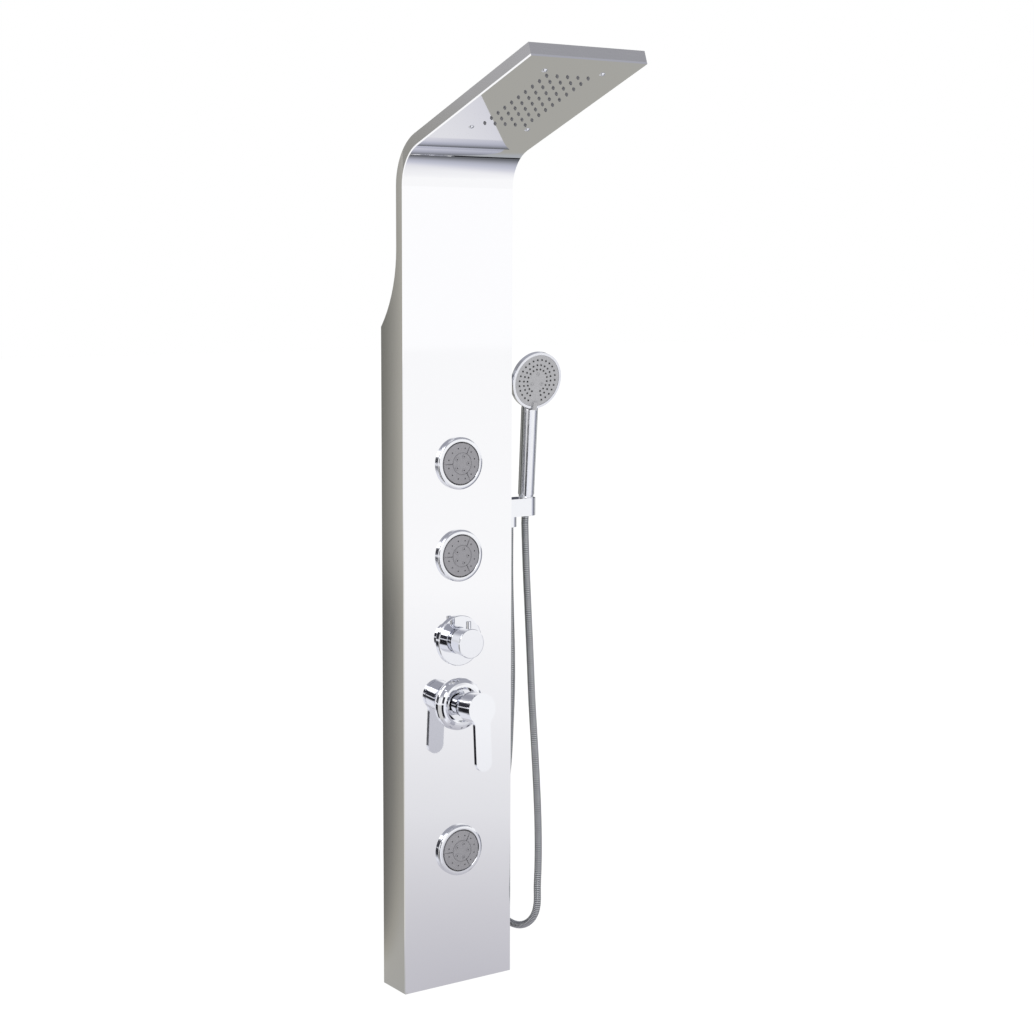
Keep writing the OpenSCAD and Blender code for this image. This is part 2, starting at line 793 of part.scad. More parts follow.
// Swivelling face: round rim about the pivot, shallow dome, spray holes and a ball socket
module jet_face() {
    low = jet_pivot_z - jet_face_back;
    high = jet_pivot_z + jet_face_front;
    low_a = asin(-jet_face_back / jet_face_r);
    high_a = asin(jet_face_front / jet_face_r);
    rim = [for (i = [0:4]) let (a = low_a + (high_a - low_a) * i / 4)
        [jet_face_r * cos(a), jet_pivot_z + jet_face_r * sin(a)]];
    difference() {
        union() {
            rotate_extrude() polygon(concat([[0, low]], rim,
                [[jet_disc_r, high + jet_dome_h], [0, high + jet_dome_h]]));
            for (i = [0:jet_swirl_count - 1]) rotate(i * 360 / jet_swirl_count)
                translate([jet_swirl_pcr, 0, 0]) rod(jet_swirl_r, high, high + jet_dome_h + jet_swirl_h);
        }
        translate([0, 0, jet_pivot_z]) sphere(jet_ball_r + slip);
        ring(jet_disc_r + jet_groove_w / 2, jet_disc_r - jet_groove_w / 2,
            high + jet_dome_h - jet_groove_d, high + jet_dome_h + cut);
        for (a = [60, 180, 300]) rotate(a)
            translate([jet_disc_r, -jet_groove_w / 2, high - jet_groove_d / 2])
                cube([jet_face_r, jet_groove_w, jet_dome_h + cut]);
        for (i = [0:jet_ring_count - 1]) rotate((i + 0.5) * 360 / jet_ring_count)
            translate([jet_ring_r, 0, 0]) rod(jet_hole_small_r, low - cut, high + jet_dome_h + cut);
        for (i = [0:jet_swirl_count - 1]) rotate(i * 360 / jet_swirl_count)
            translate([jet_swirl_pcr, 0, 0])
                rod(jet_hole_small_r, low - cut, high + jet_dome_h + jet_swirl_h + cut);
    }
}

// Cup behind the panel, with a flange in front of it, a ball for the face and a side spigot
module jet_body() {
    flange_low = jet_gasket_t;
    floor_z = -jet_cup_depth;
    difference() {
        union() {
            rod(jet_tube_r, floor_z - jet_floor_t, flange_low + jet_flange_t);
            rod(jet_flange_r, flange_low, flange_low + jet_flange_t);
            rod(jet_rear_r, -jet_rear_depth, floor_z);
            translate([0, 0, -pipe_depth]) rod(pipe_r, jet_spigot_x, 0, "x");
        }
        rod(jet_cup_r, floor_z, flange_low + jet_flange_t + cut);
        rod(jet_post_bore_r, -pipe_depth, floor_z + cut);
        translate([0, 0, -pipe_depth]) rod(pipe_bore_r, jet_spigot_x - cut, 0, "x");
    }
    difference() {
        union() {
            rod(jet_post_r, floor_z, jet_pivot_z);
            translate([0, 0, jet_pivot_z]) sphere(jet_ball_r);
        }
        rod(jet_post_bore_r, floor_z - cut, jet_pivot_z + jet_ball_r + cut);
    }
}

module jet_nut() {
    difference() {
        ring(jet_nut_r, jet_tube_r + fit, -sheet_t - jet_nut_t, -sheet_t);
        for (i = [0:jet_nut_notches - 1]) rotate(i * 360 / jet_nut_notches)
            translate([jet_nut_r - jet_notch_d, -jet_notch_w / 2, -sheet_t - jet_nut_t - cut])
                cube([jet_notch_d + cut, jet_notch_w, jet_nut_t + 2 * cut]);
    }
}

module upper_jet_bezel() { color("lightgray") on_front(upper_jet_z) jet_bezel(); }
module upper_jet_face() { color("darkgray") on_front(upper_jet_z) jet_face(); }
module upper_jet_body() { color("white") on_front(upper_jet_z) jet_body(); }
module upper_jet_nut() { color("dimgray") on_front(upper_jet_z) jet_nut(); }
module middle_jet_bezel() { color("lightgray") on_front(middle_jet_z) jet_bezel(); }
module middle_jet_face() { color("darkgray") on_front(middle_jet_z) jet_face(); }
module middle_jet_body() { color("white") on_front(middle_jet_z) jet_body(); }
module middle_jet_nut() { color("dimgray") on_front(middle_jet_z) jet_nut(); }
module lower_jet_bezel() { color("lightgray") on_front(lower_jet_z) jet_bezel(); }
module lower_jet_face() { color("darkgray") on_front(lower_jet_z) jet_face(); }
module lower_jet_body() { color("white") on_front(lower_jet_z) jet_body(); }
module lower_jet_nut() { color("dimgray") on_front(lower_jet_z) jet_nut(); }

module jet_gaskets() {
    color("black") for (z = jet_zs)
        on_front(z) ring(jet_flange_r, jet_tube_r + fit, 0, jet_gasket_t);
}

// Riser that feeds the three jets from the diverter's left port
module jet_manifold() {
    low = lower_jet_z - 2 * pipe_r;
    high = upper_jet_z + 2 * pipe_r;
    color("white") difference() {
        union() {
            translate([jet_riser_x, pipe_y, 0]) rod(pipe_r, low, high);
            for (z = jet_zs)
                translate([0, pipe_y, z]) rod(pipe_r, jet_riser_x, jet_spigot_x, "x");
            translate([0, pipe_y, diverter_z])
                rod(pipe_r, jet_riser_x, -diverter_port_reach, "x");
        }
        translate([jet_riser_x, pipe_y, 0])
            rod(pipe_bore_r, low + pipe_r / 2, high - pipe_r / 2);
        for (z = jet_zs)
            translate([0, pipe_y, z]) rod(pipe_bore_r, jet_riser_x, jet_spigot_x + cut, "x");
        translate([0, pipe_y, diverter_z])
            rod(pipe_bore_r, jet_riser_x, -diverter_port_reach + cut, "x");
    }
}

// Nuts over the pipe joints at the jets
module pipe_nuts() {
    color("goldenrod") for (z = jet_zs)
        translate([jet_spigot_x, pipe_y, z]) rotate([0, 90, 0])
            ring(pipe_nut_r, pipe_r + fit, -pipe_nut_l / 2, pipe_nut_l / 2);
}

// From the diverter's right port up to the holder's inlet
module handset_feed() {
    color("white") translate([diverter_port_reach, pipe_y, diverter_z]) rotate([0, 90, 0]) pipe([
        [handset_riser_x - diverter_port_reach - pipe_bend_r, 90, pipe_bend_r, 180],
        [holder_axis_z - diverter_z - 2 * pipe_bend_r, 90, pipe_bend_r, 0],
        level(column_w / 2 - holder_spigot_in - handset_riser_x - pipe_bend_r)
    ]);
}

module diverter_body() {
    color("goldenrod") on_front(diverter_z) difference() {
        union() {
            rod(diverter_main_r, -diverter_main_depth, -sheet_t);
            rod(diverter_neck_r, -sheet_t, diverter_nut_t);
            translate([0, 0, -pipe_depth]) {
                rod(diverter_port_r, -diverter_port_reach, diverter_port_reach, "x");
                rod(diverter_port_r, -diverter_port_reach, diverter_port_reach, "y");
            }
        }
        rod(diverter_spindle_r + fit, diverter_spindle_in - cut, diverter_nut_t + cut);
        translate([0, 0, -pipe_depth]) {
            rod(pipe_bore_r, -diverter_port_reach - cut, diverter_port_reach + cut, "x");
            rod(pipe_bore_r, -diverter_port_reach - cut, diverter_port_reach + cut, "y");
        }
    }
}

module diverter_locknut() {
    color("goldenrod") on_front(diverter_z) difference() {
        cylinder(h = diverter_nut_t, r = diverter_nut_r, $fn = 6);
        rod(diverter_neck_r + fit, -cut, diverter_nut_t + cut);
    }
}

module diverter_escutcheon() {
    rim = diverter_plate_r;
    high = diverter_plate_h;
    wall = diverter_wall;
    hole = diverter_spindle_r + diverter_hole_gap;
    edge = [for (a = [0:22.5:90])
        [rim - wall * (1 - cos(a)), high - wall + wall * sin(a)]];
    color("lightgray") on_front(diverter_z) rotate_extrude()
        polygon(concat([[rim, 0]], edge,
            [[hole, high], [hole, high - wall], [rim - wall, high - wall], [rim - wall, 0]]));
}

module diverter_spindle() {
    color("goldenrod") on_front(diverter_z)
        rod(diverter_spindle_r, diverter_spindle_in, diverter_spindle_out);
}

module diverter_knob() {
    front = diverter_knob_reach;
    edge = diverter_edge;
    rear_r = diverter_knob_r - diverter_taper;
    rim = [for (a = [0:22.5:90])
        [diverter_knob_r - edge * (1 - cos(a)), front - edge + edge * sin(a)]];
    color("lightgray") on_front(diverter_z) difference() {
        rotate_extrude() polygon(concat(
            [[0, diverter_skirt_z], [diverter_skirt_r, diverter_skirt_z],
                [diverter_skirt_r, diverter_step_z],
                [rear_r - edge / 2, diverter_step_z], [rear_r, diverter_step_z + edge / 2]],
            rim, [[0, front]]));
        rod(diverter_spindle_r, diverter_skirt_z - cut, diverter_spindle_out);
        translate([0, 0, diverter_peg_z])
            rod(diverter_peg_r, diverter_knob_r - diverter_peg_sink, diverter_knob_r + cut, "y");
    }
}

module diverter_peg() {
    top = diverter_knob_r + diverter_peg_h;
    color("lightgray") on_front(diverter_z) translate([0, 0, diverter_peg_z])
        rotate([-90, 0, 0]) rotate_extrude() polygon([
            [0, diverter_knob_r - diverter_peg_sink],
            [diverter_peg_r, diverter_knob_r - diverter_peg_sink],
            [diverter_peg_r, top - diverter_peg_r * (1 - diverter_peg_top_share)],
            [diverter_peg_r * diverter_peg_top_share, top], [0, top]]);
}

// Brass casting: cartridge well, arm with two inlet tails and a port on top
module mixer_body() {
    tail_low = -mixer_tail_drop - inlet_l;
    color("goldenrod") on_front(mixer_z) difference() {
        union() {
            rod(mixer_neck_r, -mixer_depth, mixer_front_z);
            translate([0, 0, -pipe_depth]) {
                rod(mixer_arm_r, -inlet_spacing / 2 - mixer_arm_r, inlet_spacing / 2 + mixer_arm_r,
                    "x");
                rod(diverter_port_r, 0, mixer_outlet_top, "y");
                for (side = [-1, 1]) translate([side * inlet_spacing / 2, 0, 0]) {
                    rod(inlet_r, tail_low, 0, "y");
                    rod(inlet_r + inlet_collar_t, -mixer_tail_drop, 0, "y");
                }
            }
        }
        rod(mixer_bore_r, -mixer_bore_depth, mixer_front_z + cut);
        translate([0, 0, -pipe_depth]) {
            rod(pipe_bore_r, 0, mixer_outlet_top + cut, "y");
            rod(pipe_bore_r, -inlet_spacing / 2, inlet_spacing / 2, "x");
            for (side = [-1, 1]) translate([side * inlet_spacing / 2, 0, 0])
                rod(inlet_bore_r, tail_low - cut, 0, "y");
        }
        rod(pipe_bore_r, -pipe_depth, -mixer_bore_depth + cut);
    }
}

module mixer_outlet_pipe() {
    low = mixer_z + mixer_outlet_top;
    high = diverter_z - diverter_port_reach;
    color("goldenrod") translate([0, pipe_y, 0]) difference() {
        union() {
            rod(pipe_r, low, high);
            rod(pipe_nut_r, low, low + pipe_nut_l / 2);
            rod(pipe_nut_r, high - pipe_nut_l / 2, high);
        }
        rod(pipe_bore_r, low - cut, high + cut);
    }
}

// Ceramic cartridge, with a round well for its turning carrier
module mixer_cartridge() {
    color("ivory") on_front(mixer_z) difference() {
        union() {
            rod(mixer_cartridge_r, -mixer_bore_depth, mixer_front_z);
            rod(mixer_cartridge_neck_r, mixer_front_z, mixer_pivot_z);
        }
        rod(mixer_carrier_r, mixer_carrier_low, mixer_pivot_z + cut);
    }
}

// Chrome collar that screws down over the cartridge
module mixer_collar() {
    color("white") on_front(mixer_z) {
        ring(mixer_collar_flange_r, mixer_collar_in_r, mixer_front_z,
            mixer_front_z + mixer_collar_flange_t);
        ring(mixer_collar_r, mixer_collar_in_r, mixer_front_z, mixer_collar_z);
    }
}

// Domed escutcheon with a sunk ring round the collar
module mixer_escutcheon() {
    rim = mixer_plate_r;
    wall = mixer_plate_wall;
    top = mixer_dome_h;
    span = rim - mixer_dome_top_r;
    outer = [for (a = [0:15:90])
        [mixer_dome_top_r + span * cos(a), wall + (top - wall) * sin(a)]];
    inner = [for (a = [90:-15:0])
        [mixer_dome_top_r + (span - wall) * cos(a), (top - wall) * sin(a)]];
    color("lightgray") on_front(mixer_z) rotate_extrude()
        polygon(concat([[rim, 0]], outer,
            [[mixer_dome_hole_r, top - wall], [mixer_dome_hole_r, mixer_front_z],
                [mixer_neck_r + slip, mixer_front_z], [mixer_neck_r + slip, mixer_front_z - wall],
                [mixer_dome_hole_r + wall, mixer_front_z - wall],
                [mixer_dome_hole_r + wall, top - 2 * wall]],
            inner));
}

// Carrier that turns with the lever, slotted for its stem
module mixer_carrier() {
    color("whitesmoke") on_front(mixer_z) difference() {
        rod(mixer_carrier_r - fit, mixer_carrier_low, mixer_pivot_z + 2 * mixer_pin_r);
        translate([-mixer_stem_r - slip, -mixer_slot_y,
                mixer_pivot_z - mixer_stem_low - mixer_stem_gap])
            cube([2 * (mixer_stem_r + slip), 2 * mixer_slot_y,
                mixer_stem_low + mixer_stem_gap + 2 * mixer_pin_r + cut]);
        translate([0, 0, mixer_pivot_z])
            rod(mixer_pin_r, -mixer_carrier_r - cut, mixer_carrier_r + cut, "x");
    }
}

module mixer_pivot_pin() {
    color("silver") on_front(mixer_z) translate([0, 0, mixer_pivot_z])
        rod(mixer_pin_r, mixer_pin_inset - mixer_carrier_r, mixer_carrier_r - mixer_pin_inset, "x");
}

// Frame of the lever: at the pivot, with the rest lift of a closed lever
module lever_frame() {
    on_front(mixer_z) translate([0, 0, mixer_pivot_z]) rotate([-lever_rest_lift, 0, 0])
        translate([0, 0, -mixer_pivot_z]) children();
}

module mixer_stem() {
    color("silver") lever_frame() difference() {
        rod(mixer_stem_r, mixer_pivot_z - mixer_stem_low, mixer_pivot_z + mixer_stem_len);
        translate([0, 0, mixer_pivot_z])
            rod(mixer_pin_r + fit, -mixer_stem_r - cut, mixer_stem_r + cut, "x");
    }
}

// Points of an arc, leaving out some at its start and end
function arc(c, r, from_a, to_a, steps, skip_first = 0, skip_last = 0) = [
    for (i = [skip_first:steps - skip_last]) let (a = from_a + (to_a - from_a) * i / steps)
        c + r * [cos(a), sin(a)]
];

// Front outline of the lever: round hub, hollow fillets and a blade with a round tip
function lever_outline() = let (
        cx = lever_w / 2 + lever_fillet_r,
        reach = lever_hub_r + lever_fillet_r,
        cy = -sqrt(reach * reach - cx * cx),
        turn = atan(-cy / cx))
    concat(
        arc([0, 0], lever_hub_r, -turn, 180 + turn, lever_hub_steps),
        arc([-cx, cy], lever_fillet_r, turn, 0, lever_fillet_steps, 1),
        arc([0, -lever_l + lever_w / 2], lever_w / 2, 180, 360, lever_tip_steps),
        arc([cx, cy], lever_fillet_r, 180, 180 - turn, lever_fillet_steps, 0, 1));

// Cast lever: hollow neck and round hub, with a flat blade flush with the hub's front
module mixer_lever() {
    back = lever_reach - lever_t;
    hub_r = lever_hub_r - lever_rim;
    color("lightgray") lever_frame() difference() {
        union() {
            rotate_extrude() polygon([
                [0, lever_neck_z], [lever_neck_r, lever_neck_z], [lever_neck_r, lever_step_z],
                [hub_r, lever_step_z + lever_edge], [hub_r, back], [0, back]]);
            translate([0, 0, back]) linear_extrude(lever_t) polygon(lever_outline());
        }
        rod(lever_cavity_r, lever_neck_z - cut, lever_cavity_z);
        rod(mixer_stem_r, lever_cavity_z - cut, mixer_pivot_z + mixer_stem_len);
        translate([0, 0, lever_screw_z])
            rod(lever_screw_r, mixer_stem_r, lever_neck_r + cut, "y");
    }
}

module mixer_lever_screw() {
    color("dimgray") lever_frame() translate([0, 0, lever_screw_z])
        rod(lever_screw_r, mixer_stem_r, lever_neck_r - fit, "y");
}

// Frame of the handle: at its lower end, leaning forward
module handle_frame() {
    translate([holder_cx, holder_y, handle_z]) rotate([handle_lean, 0, 0]) children();
}

// Frame of the spray face: at its middle, facing forward and down
module spray_frame() {
    handle_frame() translate([0, -handset_head_fwd, handset_head_h])
        rotate([90 + handset_tilt - handle_lean, 0, 0]) children();
}

// Arm that carries the handset and feeds its hose
module holder_arm() {
    side_x = column_w / 2;
    taper = (cone_top_r - cone_low_r) / cone_l;
    color("lightgray") difference() {
        union() {
            translate([holder_cx, holder_y, holder_z]) linear_extrude(holder_h) difference() {
                union() {
                    translate([-holder_reach, -holder_r]) square([holder_reach, 2 * holder_r]);
                    circle(holder_r);
                }
                translate([-holder_slot_w / 2, 0]) square([holder_slot_w, holder_r + cut]);
            }
            translate([0, holder_y, holder_axis_z])
                rod(holder_spigot_r, side_x - holder_spigot_in, side_x + cut, "x");
            translate([holder_outlet_x, holder_y, 0])
                rod(nipple_r, holder_z - nipple_l, holder_z + cut);
        }
        handle_frame() translate([0, 0, -cone_l - cut])
            cylinder(h = cone_l + 2 * cut, r1 = cone_low_r + cone_gap - taper * cut,
                r2 = cone_top_r + cone_gap + taper * cut);
        translate([0, holder_y, holder_axis_z])
            rod(holder_bore_r, side_x - holder_spigot_in - cut, holder_outlet_x, "x");
        translate([holder_outlet_x, holder_y, 0])
            rod(nipple_bore_r, holder_z - nipple_l - cut, holder_axis_z);
    }
}

module holder_locknut() {
    color("goldenrod") translate([inner_w / 2 - holder_nut_t, holder_y, holder_axis_z])
        rotate([0, 90, 0]) difference() {
            cylinder(h = holder_nut_t, r = holder_nut_r, $fn = 6);
            rod(holder_spigot_r + fit, -cut, holder_nut_t + cut);
        }
}

module hose_outlet_nut() {
    low = outlet_nut_top_z - outlet_nut_l;
    color("lightgray") translate([hose_start_pos[0], hose_start_pos[1], 0]) difference() {
        rod(outlet_nut_r, low, outlet_nut_top_z);
        rod(nipple_r + fit, holder_z - nipple_l - washer_t, outlet_nut_top_z + cut);
        rod(hose_bore_d / 2, low - cut, outlet_nut_top_z);
    }
}

module outlet_washer() {
    top = holder_z - nipple_l;
    color("black") translate([hose_start_pos[0], hose_start_pos[1], 0])
        ring(nipple_r, nipple_bore_r, top - washer_t, top);
}

module hose_cone_nut() {
    color("lightgray") handle_frame() difference() {
        translate([0, 0, -cone_l]) cylinder(h = cone_l, r1 = cone_low_r, r2 = cone_top_r);
        rod(cone_bore_r + fit, -cone_spigot_l, cut);
        rod(hose_bore_d / 2, -cone_l - cut, -cone_spigot_l + cut);
    }
}

// Points of the smooth curve through the route, by a share of its steps
function smooth(p, i, t) = (2 * p[i] + (p[i + 1] - p[i - 1]) * t
    + (2 * p[i - 1] - 5 * p[i] + 4 * p[i + 1] - p[i + 2]) * t * t
    + (3 * p[i] - p[i - 1] - 3 * p[i + 1] + p[i + 2]) * t * t * t) / 2;
hose_knots = concat(
    [hose_start_pos, hose_start_pos + hose_start_dir * hose_end],
    hose_route,
    [hose_finish_pos - hose_finish_dir * hose_end, hose_finish_pos]);
hose_rings = 2 * hose_ribs;
hose_spans = len(hose_knots) - 3;
function hose_point(s) = let (i = min(floor(s), hose_spans - 1))
    smooth(hose_knots, i + 1, s - i);
hose_middle = [for (k = [0:hose_rings]) hose_point(k * hose_spans / hose_rings)];
hose_line = concat([hose_start_pos], hose_middle, [hose_finish_pos]);
hose_last = len(hose_line) - 1;
function unit(v) = v / norm(v);
function hose_tangent(i) = i == 0 ? hose_start_dir : i == hose_last ? hose_finish_dir
    : unit(hose_line[i + 1] - hose_line[i - 1]);
function hose_ring(i, r) = let (t = hose_tangent(i), n = unit([1, 0, 0] - t * t[0]), b = cross(t, n))
    [for (k = [0:hose_sides - 1]) hose_line[i] + r * (cos(k * 360 / hose_sides) * n
        + sin(k * 360 / hose_sides) * b)];
function hose_outer_r(i) = hose_d / 2 - ((i % 2 == 0 || i == hose_last) ? hose_valley : 0);

// Ribbed hose: the ribs outside and a plain bore inside, closed by a flat ring at each end
module shower_hose() {
    bore_at = [for (i = [0:hose_bore_step:hose_last - 1]) i, hose_last];
    outer = [for (i = [0:hose_last]) each hose_ring(i, hose_outer_r(i))];
    inner = [for (i = bore_at) each hose_ring(i, hose_bore_d / 2)];
    n = hose_sides;
    base = len(outer);
    last = base + len(inner) - n;
    skin = [for (i = [0:hose_last - 1], k = [0:n - 1])
        let (a = i * n + k, b = i * n + (k + 1) % n) each [[a, b, b + n], [a, b + n, a + n]]];
    bore = [for (i = [0:len(bore_at) - 2], k = [0:n - 1])
        let (a = base + i * n + k, b = base + i * n + (k + 1) % n)
            each [[a, b + n, b], [a, a + n, b + n]]];
    ends = [for (k = [0:n - 1]) let (m = (k + 1) % n)
        each [[k, base + m, m], [k, base + k, base + m],
            [hose_last * n + k, hose_last * n + m, last + m],
            [hose_last * n + k, last + m, last + k]]];
    color("silver") polyhedron(points = concat(outer, inner), faces = concat(skin, bore, ends));
}

// Profile of the handset's hollow back, from its rim to its middle
function shell_arc(r, depth, front) = [for (a = [0:11.25:90])
    [r * cos(a), front - shell_side - (depth - shell_side) * sin(a)]];

// Hollow handle and neck, with the domed back of the head
module handset_body() {
    inner_r = shell_r - shell_wall;
    color("lightgray") difference() {
        union() {
            difference() {
                handle_frame() {
                    cylinder(h = handle_l, r1 = handle_r, r2 = handle_top_r);
                    translate([0, 0, handle_l]) cylinder(h = neck_l, r1 = handle_top_r, r2 = neck_r);
                    translate([0, 0, handle_l + neck_l]) sphere(neck_r);
                }
                spray_frame() rod(handset_rim_r + tab_drop + slip, rim_back - slip, 2 * neck_l);
            }
            handle_frame() rod(cone_bore_r, -cone_spigot_l + slip, cut);
            spray_frame() rotate_extrude() polygon(concat([[0, shell_front], [shell_r, shell_front]],
                shell_arc(shell_r, shell_depth, 0)));
        }
        spray_frame() rotate_extrude() polygon(concat(
            [[0, cut], [inner_r, cut]],
            shell_arc(inner_r, shell_depth - shell_wall, 0)));
        handle_frame() {
            rod(cone_bore_r - spigot_wall, -cone_spigot_l, handle_floor_t + cut);
            rod(handle_bore_r, handle_floor_t, handle_l - handle_top_r);
            rod(handle_passage_r, handle_l - handle_top_r - cut, handle_passage_top);
        }
    }
    spray_frame() ring(face_post_r + shell_wall, face_post_r + fit, -shell_depth + shell_wall / 2,
        face_back - face_post_l / 2);
}

module handset_rim() {
    color("white") spray_frame() difference() {
        rod(handset_rim_r, rim_back, rim_front);
        rod(spray_face_r + slip, rim_back - cut, rim_front + cut);
        rod(shell_r + fit, rim_back - cut, shell_front);
    }
}

// Spray face that turns to change the spray, with its thumb tab
module spray_face() {
    color("darkgray") spray_frame() difference() {
        union() {
            rod(spray_face_r, face_back, face_front);
            rod(face_post_r, face_back - face_post_l, face_back);
            translate([-tab_w / 2, -handset_rim_r - tab_drop, rim_front + slip])
                cube([tab_w, handset_rim_r + tab_drop - spray_face_r + tab_w, tab_t]);
            translate([-tab_w / 2, -spray_face_r + slip, face_front - cut])
                cube([tab_w, tab_w - slip, rim_front + slip + tab_t - face_front + cut]);
        }
        ring(spray_mat_r, face_post_r, face_back - cut, face_back + spray_mat_t);
        for (j = [0:len(spray_ring_shares) - 1], i = [0:spray_ring_counts[j] - 1])
            spray_place(j, i) rod(spray_nozzle_r + fit, face_back, face_front + cut);
        for (i = [0:mist_count - 1]) rotate(90 + i * 360 / mist_count)
            translate([spray_face_r * mist_share, 0, 0]) {
                ring(mist_r, mist_r - mist_groove_w, face_front - mist_groove_d, face_front + cut);
                rod(mist_hole_r, face_back - cut, face_front + cut);
            }
    }
}

module spray_place(j, i) {
    n = spray_ring_counts[j];
    a = -90 + spray_gap_angle / 2 + (360 - spray_gap_angle) * (i + 0.5) / n;
    rotate(a) translate([spray_face_r * spray_ring_shares[j], 0, 0]) children();
}

// Rubber nozzles on their mat behind the spray face
module spray_nozzles() {
    color("black") spray_frame() {
        ring(spray_mat_r, face_post_r, face_back, face_back + spray_mat_t);
        for (j = [0:len(spray_ring_shares) - 1], i = [0:spray_ring_counts[j] - 1])
            spray_place(j, i)
                rod(spray_nozzle_r, face_back + spray_mat_t / 2, face_front + spray_nozzle_h);
    }
}

front_panel();
left_side_plate();
right_side_plate();
back_cover();
head_tip_plate();
bottom_cap();
upper_rail();
lower_rail();
upper_wall_bracket();
lower_wall_bracket();
rail_screws();
rain_chamber();
nozzle_mat();
rain_head_screws();
rain_feed_lower();
rain_feed_upper();
rain_feed_coupling();
upper_jet_bezel();
upper_jet_face();
upper_jet_body();
upper_jet_nut();
middle_jet_bezel();
middle_jet_face();
middle_jet_body();
middle_jet_nut();
lower_jet_bezel();
lower_jet_face();
lower_jet_body();
lower_jet_nut();
jet_gaskets();
jet_manifold();
pipe_nuts();
handset_feed();
diverter_body();
diverter_locknut();
diverter_escutcheon();
diverter_spindle();
diverter_knob();
diverter_peg();
mixer_body();
mixer_outlet_pipe();
mixer_cartridge();
mixer_collar();
mixer_escutcheon();
mixer_carrier();
mixer_pivot_pin();
mixer_stem();
mixer_lever();
mixer_lever_screw();
holder_arm();
holder_locknut();
hose_outlet_nut();
outlet_washer();
shower_hose();
hose_cone_nut();
handset_body();
handset_rim();
spray_face();
spray_nozzles();
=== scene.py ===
"""Looks of the shower panel column: finishes, the ribbed hose and a plain studio.

Laid out as an add-on and run as a script. The packed parts give every place and size, in
metres.
"""

import math

import bpy
from mathutils import Matrix, Vector


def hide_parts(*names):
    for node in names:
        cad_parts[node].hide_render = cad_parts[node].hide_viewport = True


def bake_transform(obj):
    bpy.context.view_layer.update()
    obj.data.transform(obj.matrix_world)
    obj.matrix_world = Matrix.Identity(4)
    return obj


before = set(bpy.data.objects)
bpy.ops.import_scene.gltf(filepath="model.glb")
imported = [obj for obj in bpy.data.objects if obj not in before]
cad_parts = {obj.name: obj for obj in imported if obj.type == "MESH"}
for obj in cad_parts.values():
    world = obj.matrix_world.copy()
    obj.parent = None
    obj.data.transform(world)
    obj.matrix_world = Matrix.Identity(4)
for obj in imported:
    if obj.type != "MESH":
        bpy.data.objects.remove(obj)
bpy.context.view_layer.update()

bl_info = {
    "name": "Shower panel column",
    "version": (1, 0, 0),
    "blender": (4, 5, 0),
    "location": "3D View > Sidebar > Shower",
    "description": "Dresses a packed shower panel column and sets up its studio",
    "category": "Object",
}

MM = 0.001
# Noise mostly stays between these values, so what drifts with it runs from one to the other
NOISE_LOW, NOISE_HIGH = 0.3, 0.7
# Places of a Mix node's sockets for colours
MIX_UNDER, MIX_OVER, MIX_RESULT = 6, 7, 2


# ---------------------------------------------------------------- small helpers


def srgb(code):
    """Linear colour of a written one, such as #C3C2C8."""
    parts = [int(code[i : i + 2], 16) / 255 for i in (1, 3, 5)]
    return [c / 12.92 if c <= 0.04045 else ((c + 0.055) / 1.055) ** 2.4 for c in parts]


def shade(colour, share):
    """The colour times a share."""
    return [c * share for c in colour[:3]]


def put(name, data):
    """A new object in the scene."""
    made = bpy.data.objects.new(name, data)
    bpy.context.scene.collection.objects.link(made)
    return made


def blank(owner):
    """The emptied node tree of a material or a world."""
    owner.use_nodes = True
    owner.node_tree.nodes.clear()
    return owner.node_tree


def add(tree, kind, inputs=None, **settings):
    """Adds a node. An input that is a socket is linked, and so is a node's first output.
    Any other is set as a value."""
    made = tree.nodes.new(kind)
    for name, value in settings.items():
        setattr(made, name, value)
    for key, value in (inputs or {}).items():
        if isinstance(value, bpy.types.Node):
            value = value.outputs[0]
        if isinstance(value, bpy.types.NodeSocket):
            tree.links.new(value, made.inputs[key])
        else:
            made.inputs[key].default_value = value
    return made


def ramp(tree, factor, stops):
    """A colour ramp through (position, linear colour) stops."""
    made = add(tree, "ShaderNodeValToRGB", {"Fac": factor})
    elements = made.color_ramp.elements
    for element, (place, colour) in zip((elements[0], elements[-1]), (stops[0], stops[-1])):
        element.position = place
        element.color = (*colour, 1)
    for place, colour in stops[1:-1]:
        elements.new(place).color = (*colour, 1)
    return made.outputs["Color"]


def past(tree, *edges):
    """Rises smoothly from 0 to 1 past every edge: a value, with its start and its end."""
    share = None
    for value, (start, end) in edges:
        rise = add(
            tree,
            "ShaderNodeMapRange",
            {"Value": value, "From Min": start, "From Max": end},
            interpolation_type="SMOOTHSTEP",
        )
        if share is None:
            share = rise
        else:
            share = add(tree, "ShaderNodeMath", {0: share, 1: rise}, operation="MULTIPLY")
    return share


def new_material(name, colour, metallic, roughness, **sockets):
    """A material with one Principled shader, whose constants sit on its own sockets."""
    material = bpy.data.materials.new(name)
    tree = blank(material)
    values = {"Base Color": (*colour, 1), "Metallic": metallic, "Roughness": roughness}
    values.update({key.replace("_", " "): value for key, value in sockets.items()})
    shader = add(tree, "ShaderNodeBsdfPrincipled", values)
    add(tree, "ShaderNodeOutputMaterial", {"Surface": shader})
    material.diffuse_color = (*colour, 1)
    return material, tree, shader


def grain(tree, cells, stretch=(1, 1, 1), detail=2.0):
    """Noise on the object's own coordinates, with so many cells to the metre. A cell is
    longer along an axis whose stretch is under 1."""
    place = add(tree, "ShaderNodeTexCoord").outputs["Object"]
    mapped = add(tree, "ShaderNodeMapping", {"Vector": place, "Scale": stretch})
    return add(
        tree, "ShaderNodeTexNoise", {"Vector": mapped, "Scale": cells, "Detail": detail}
    )


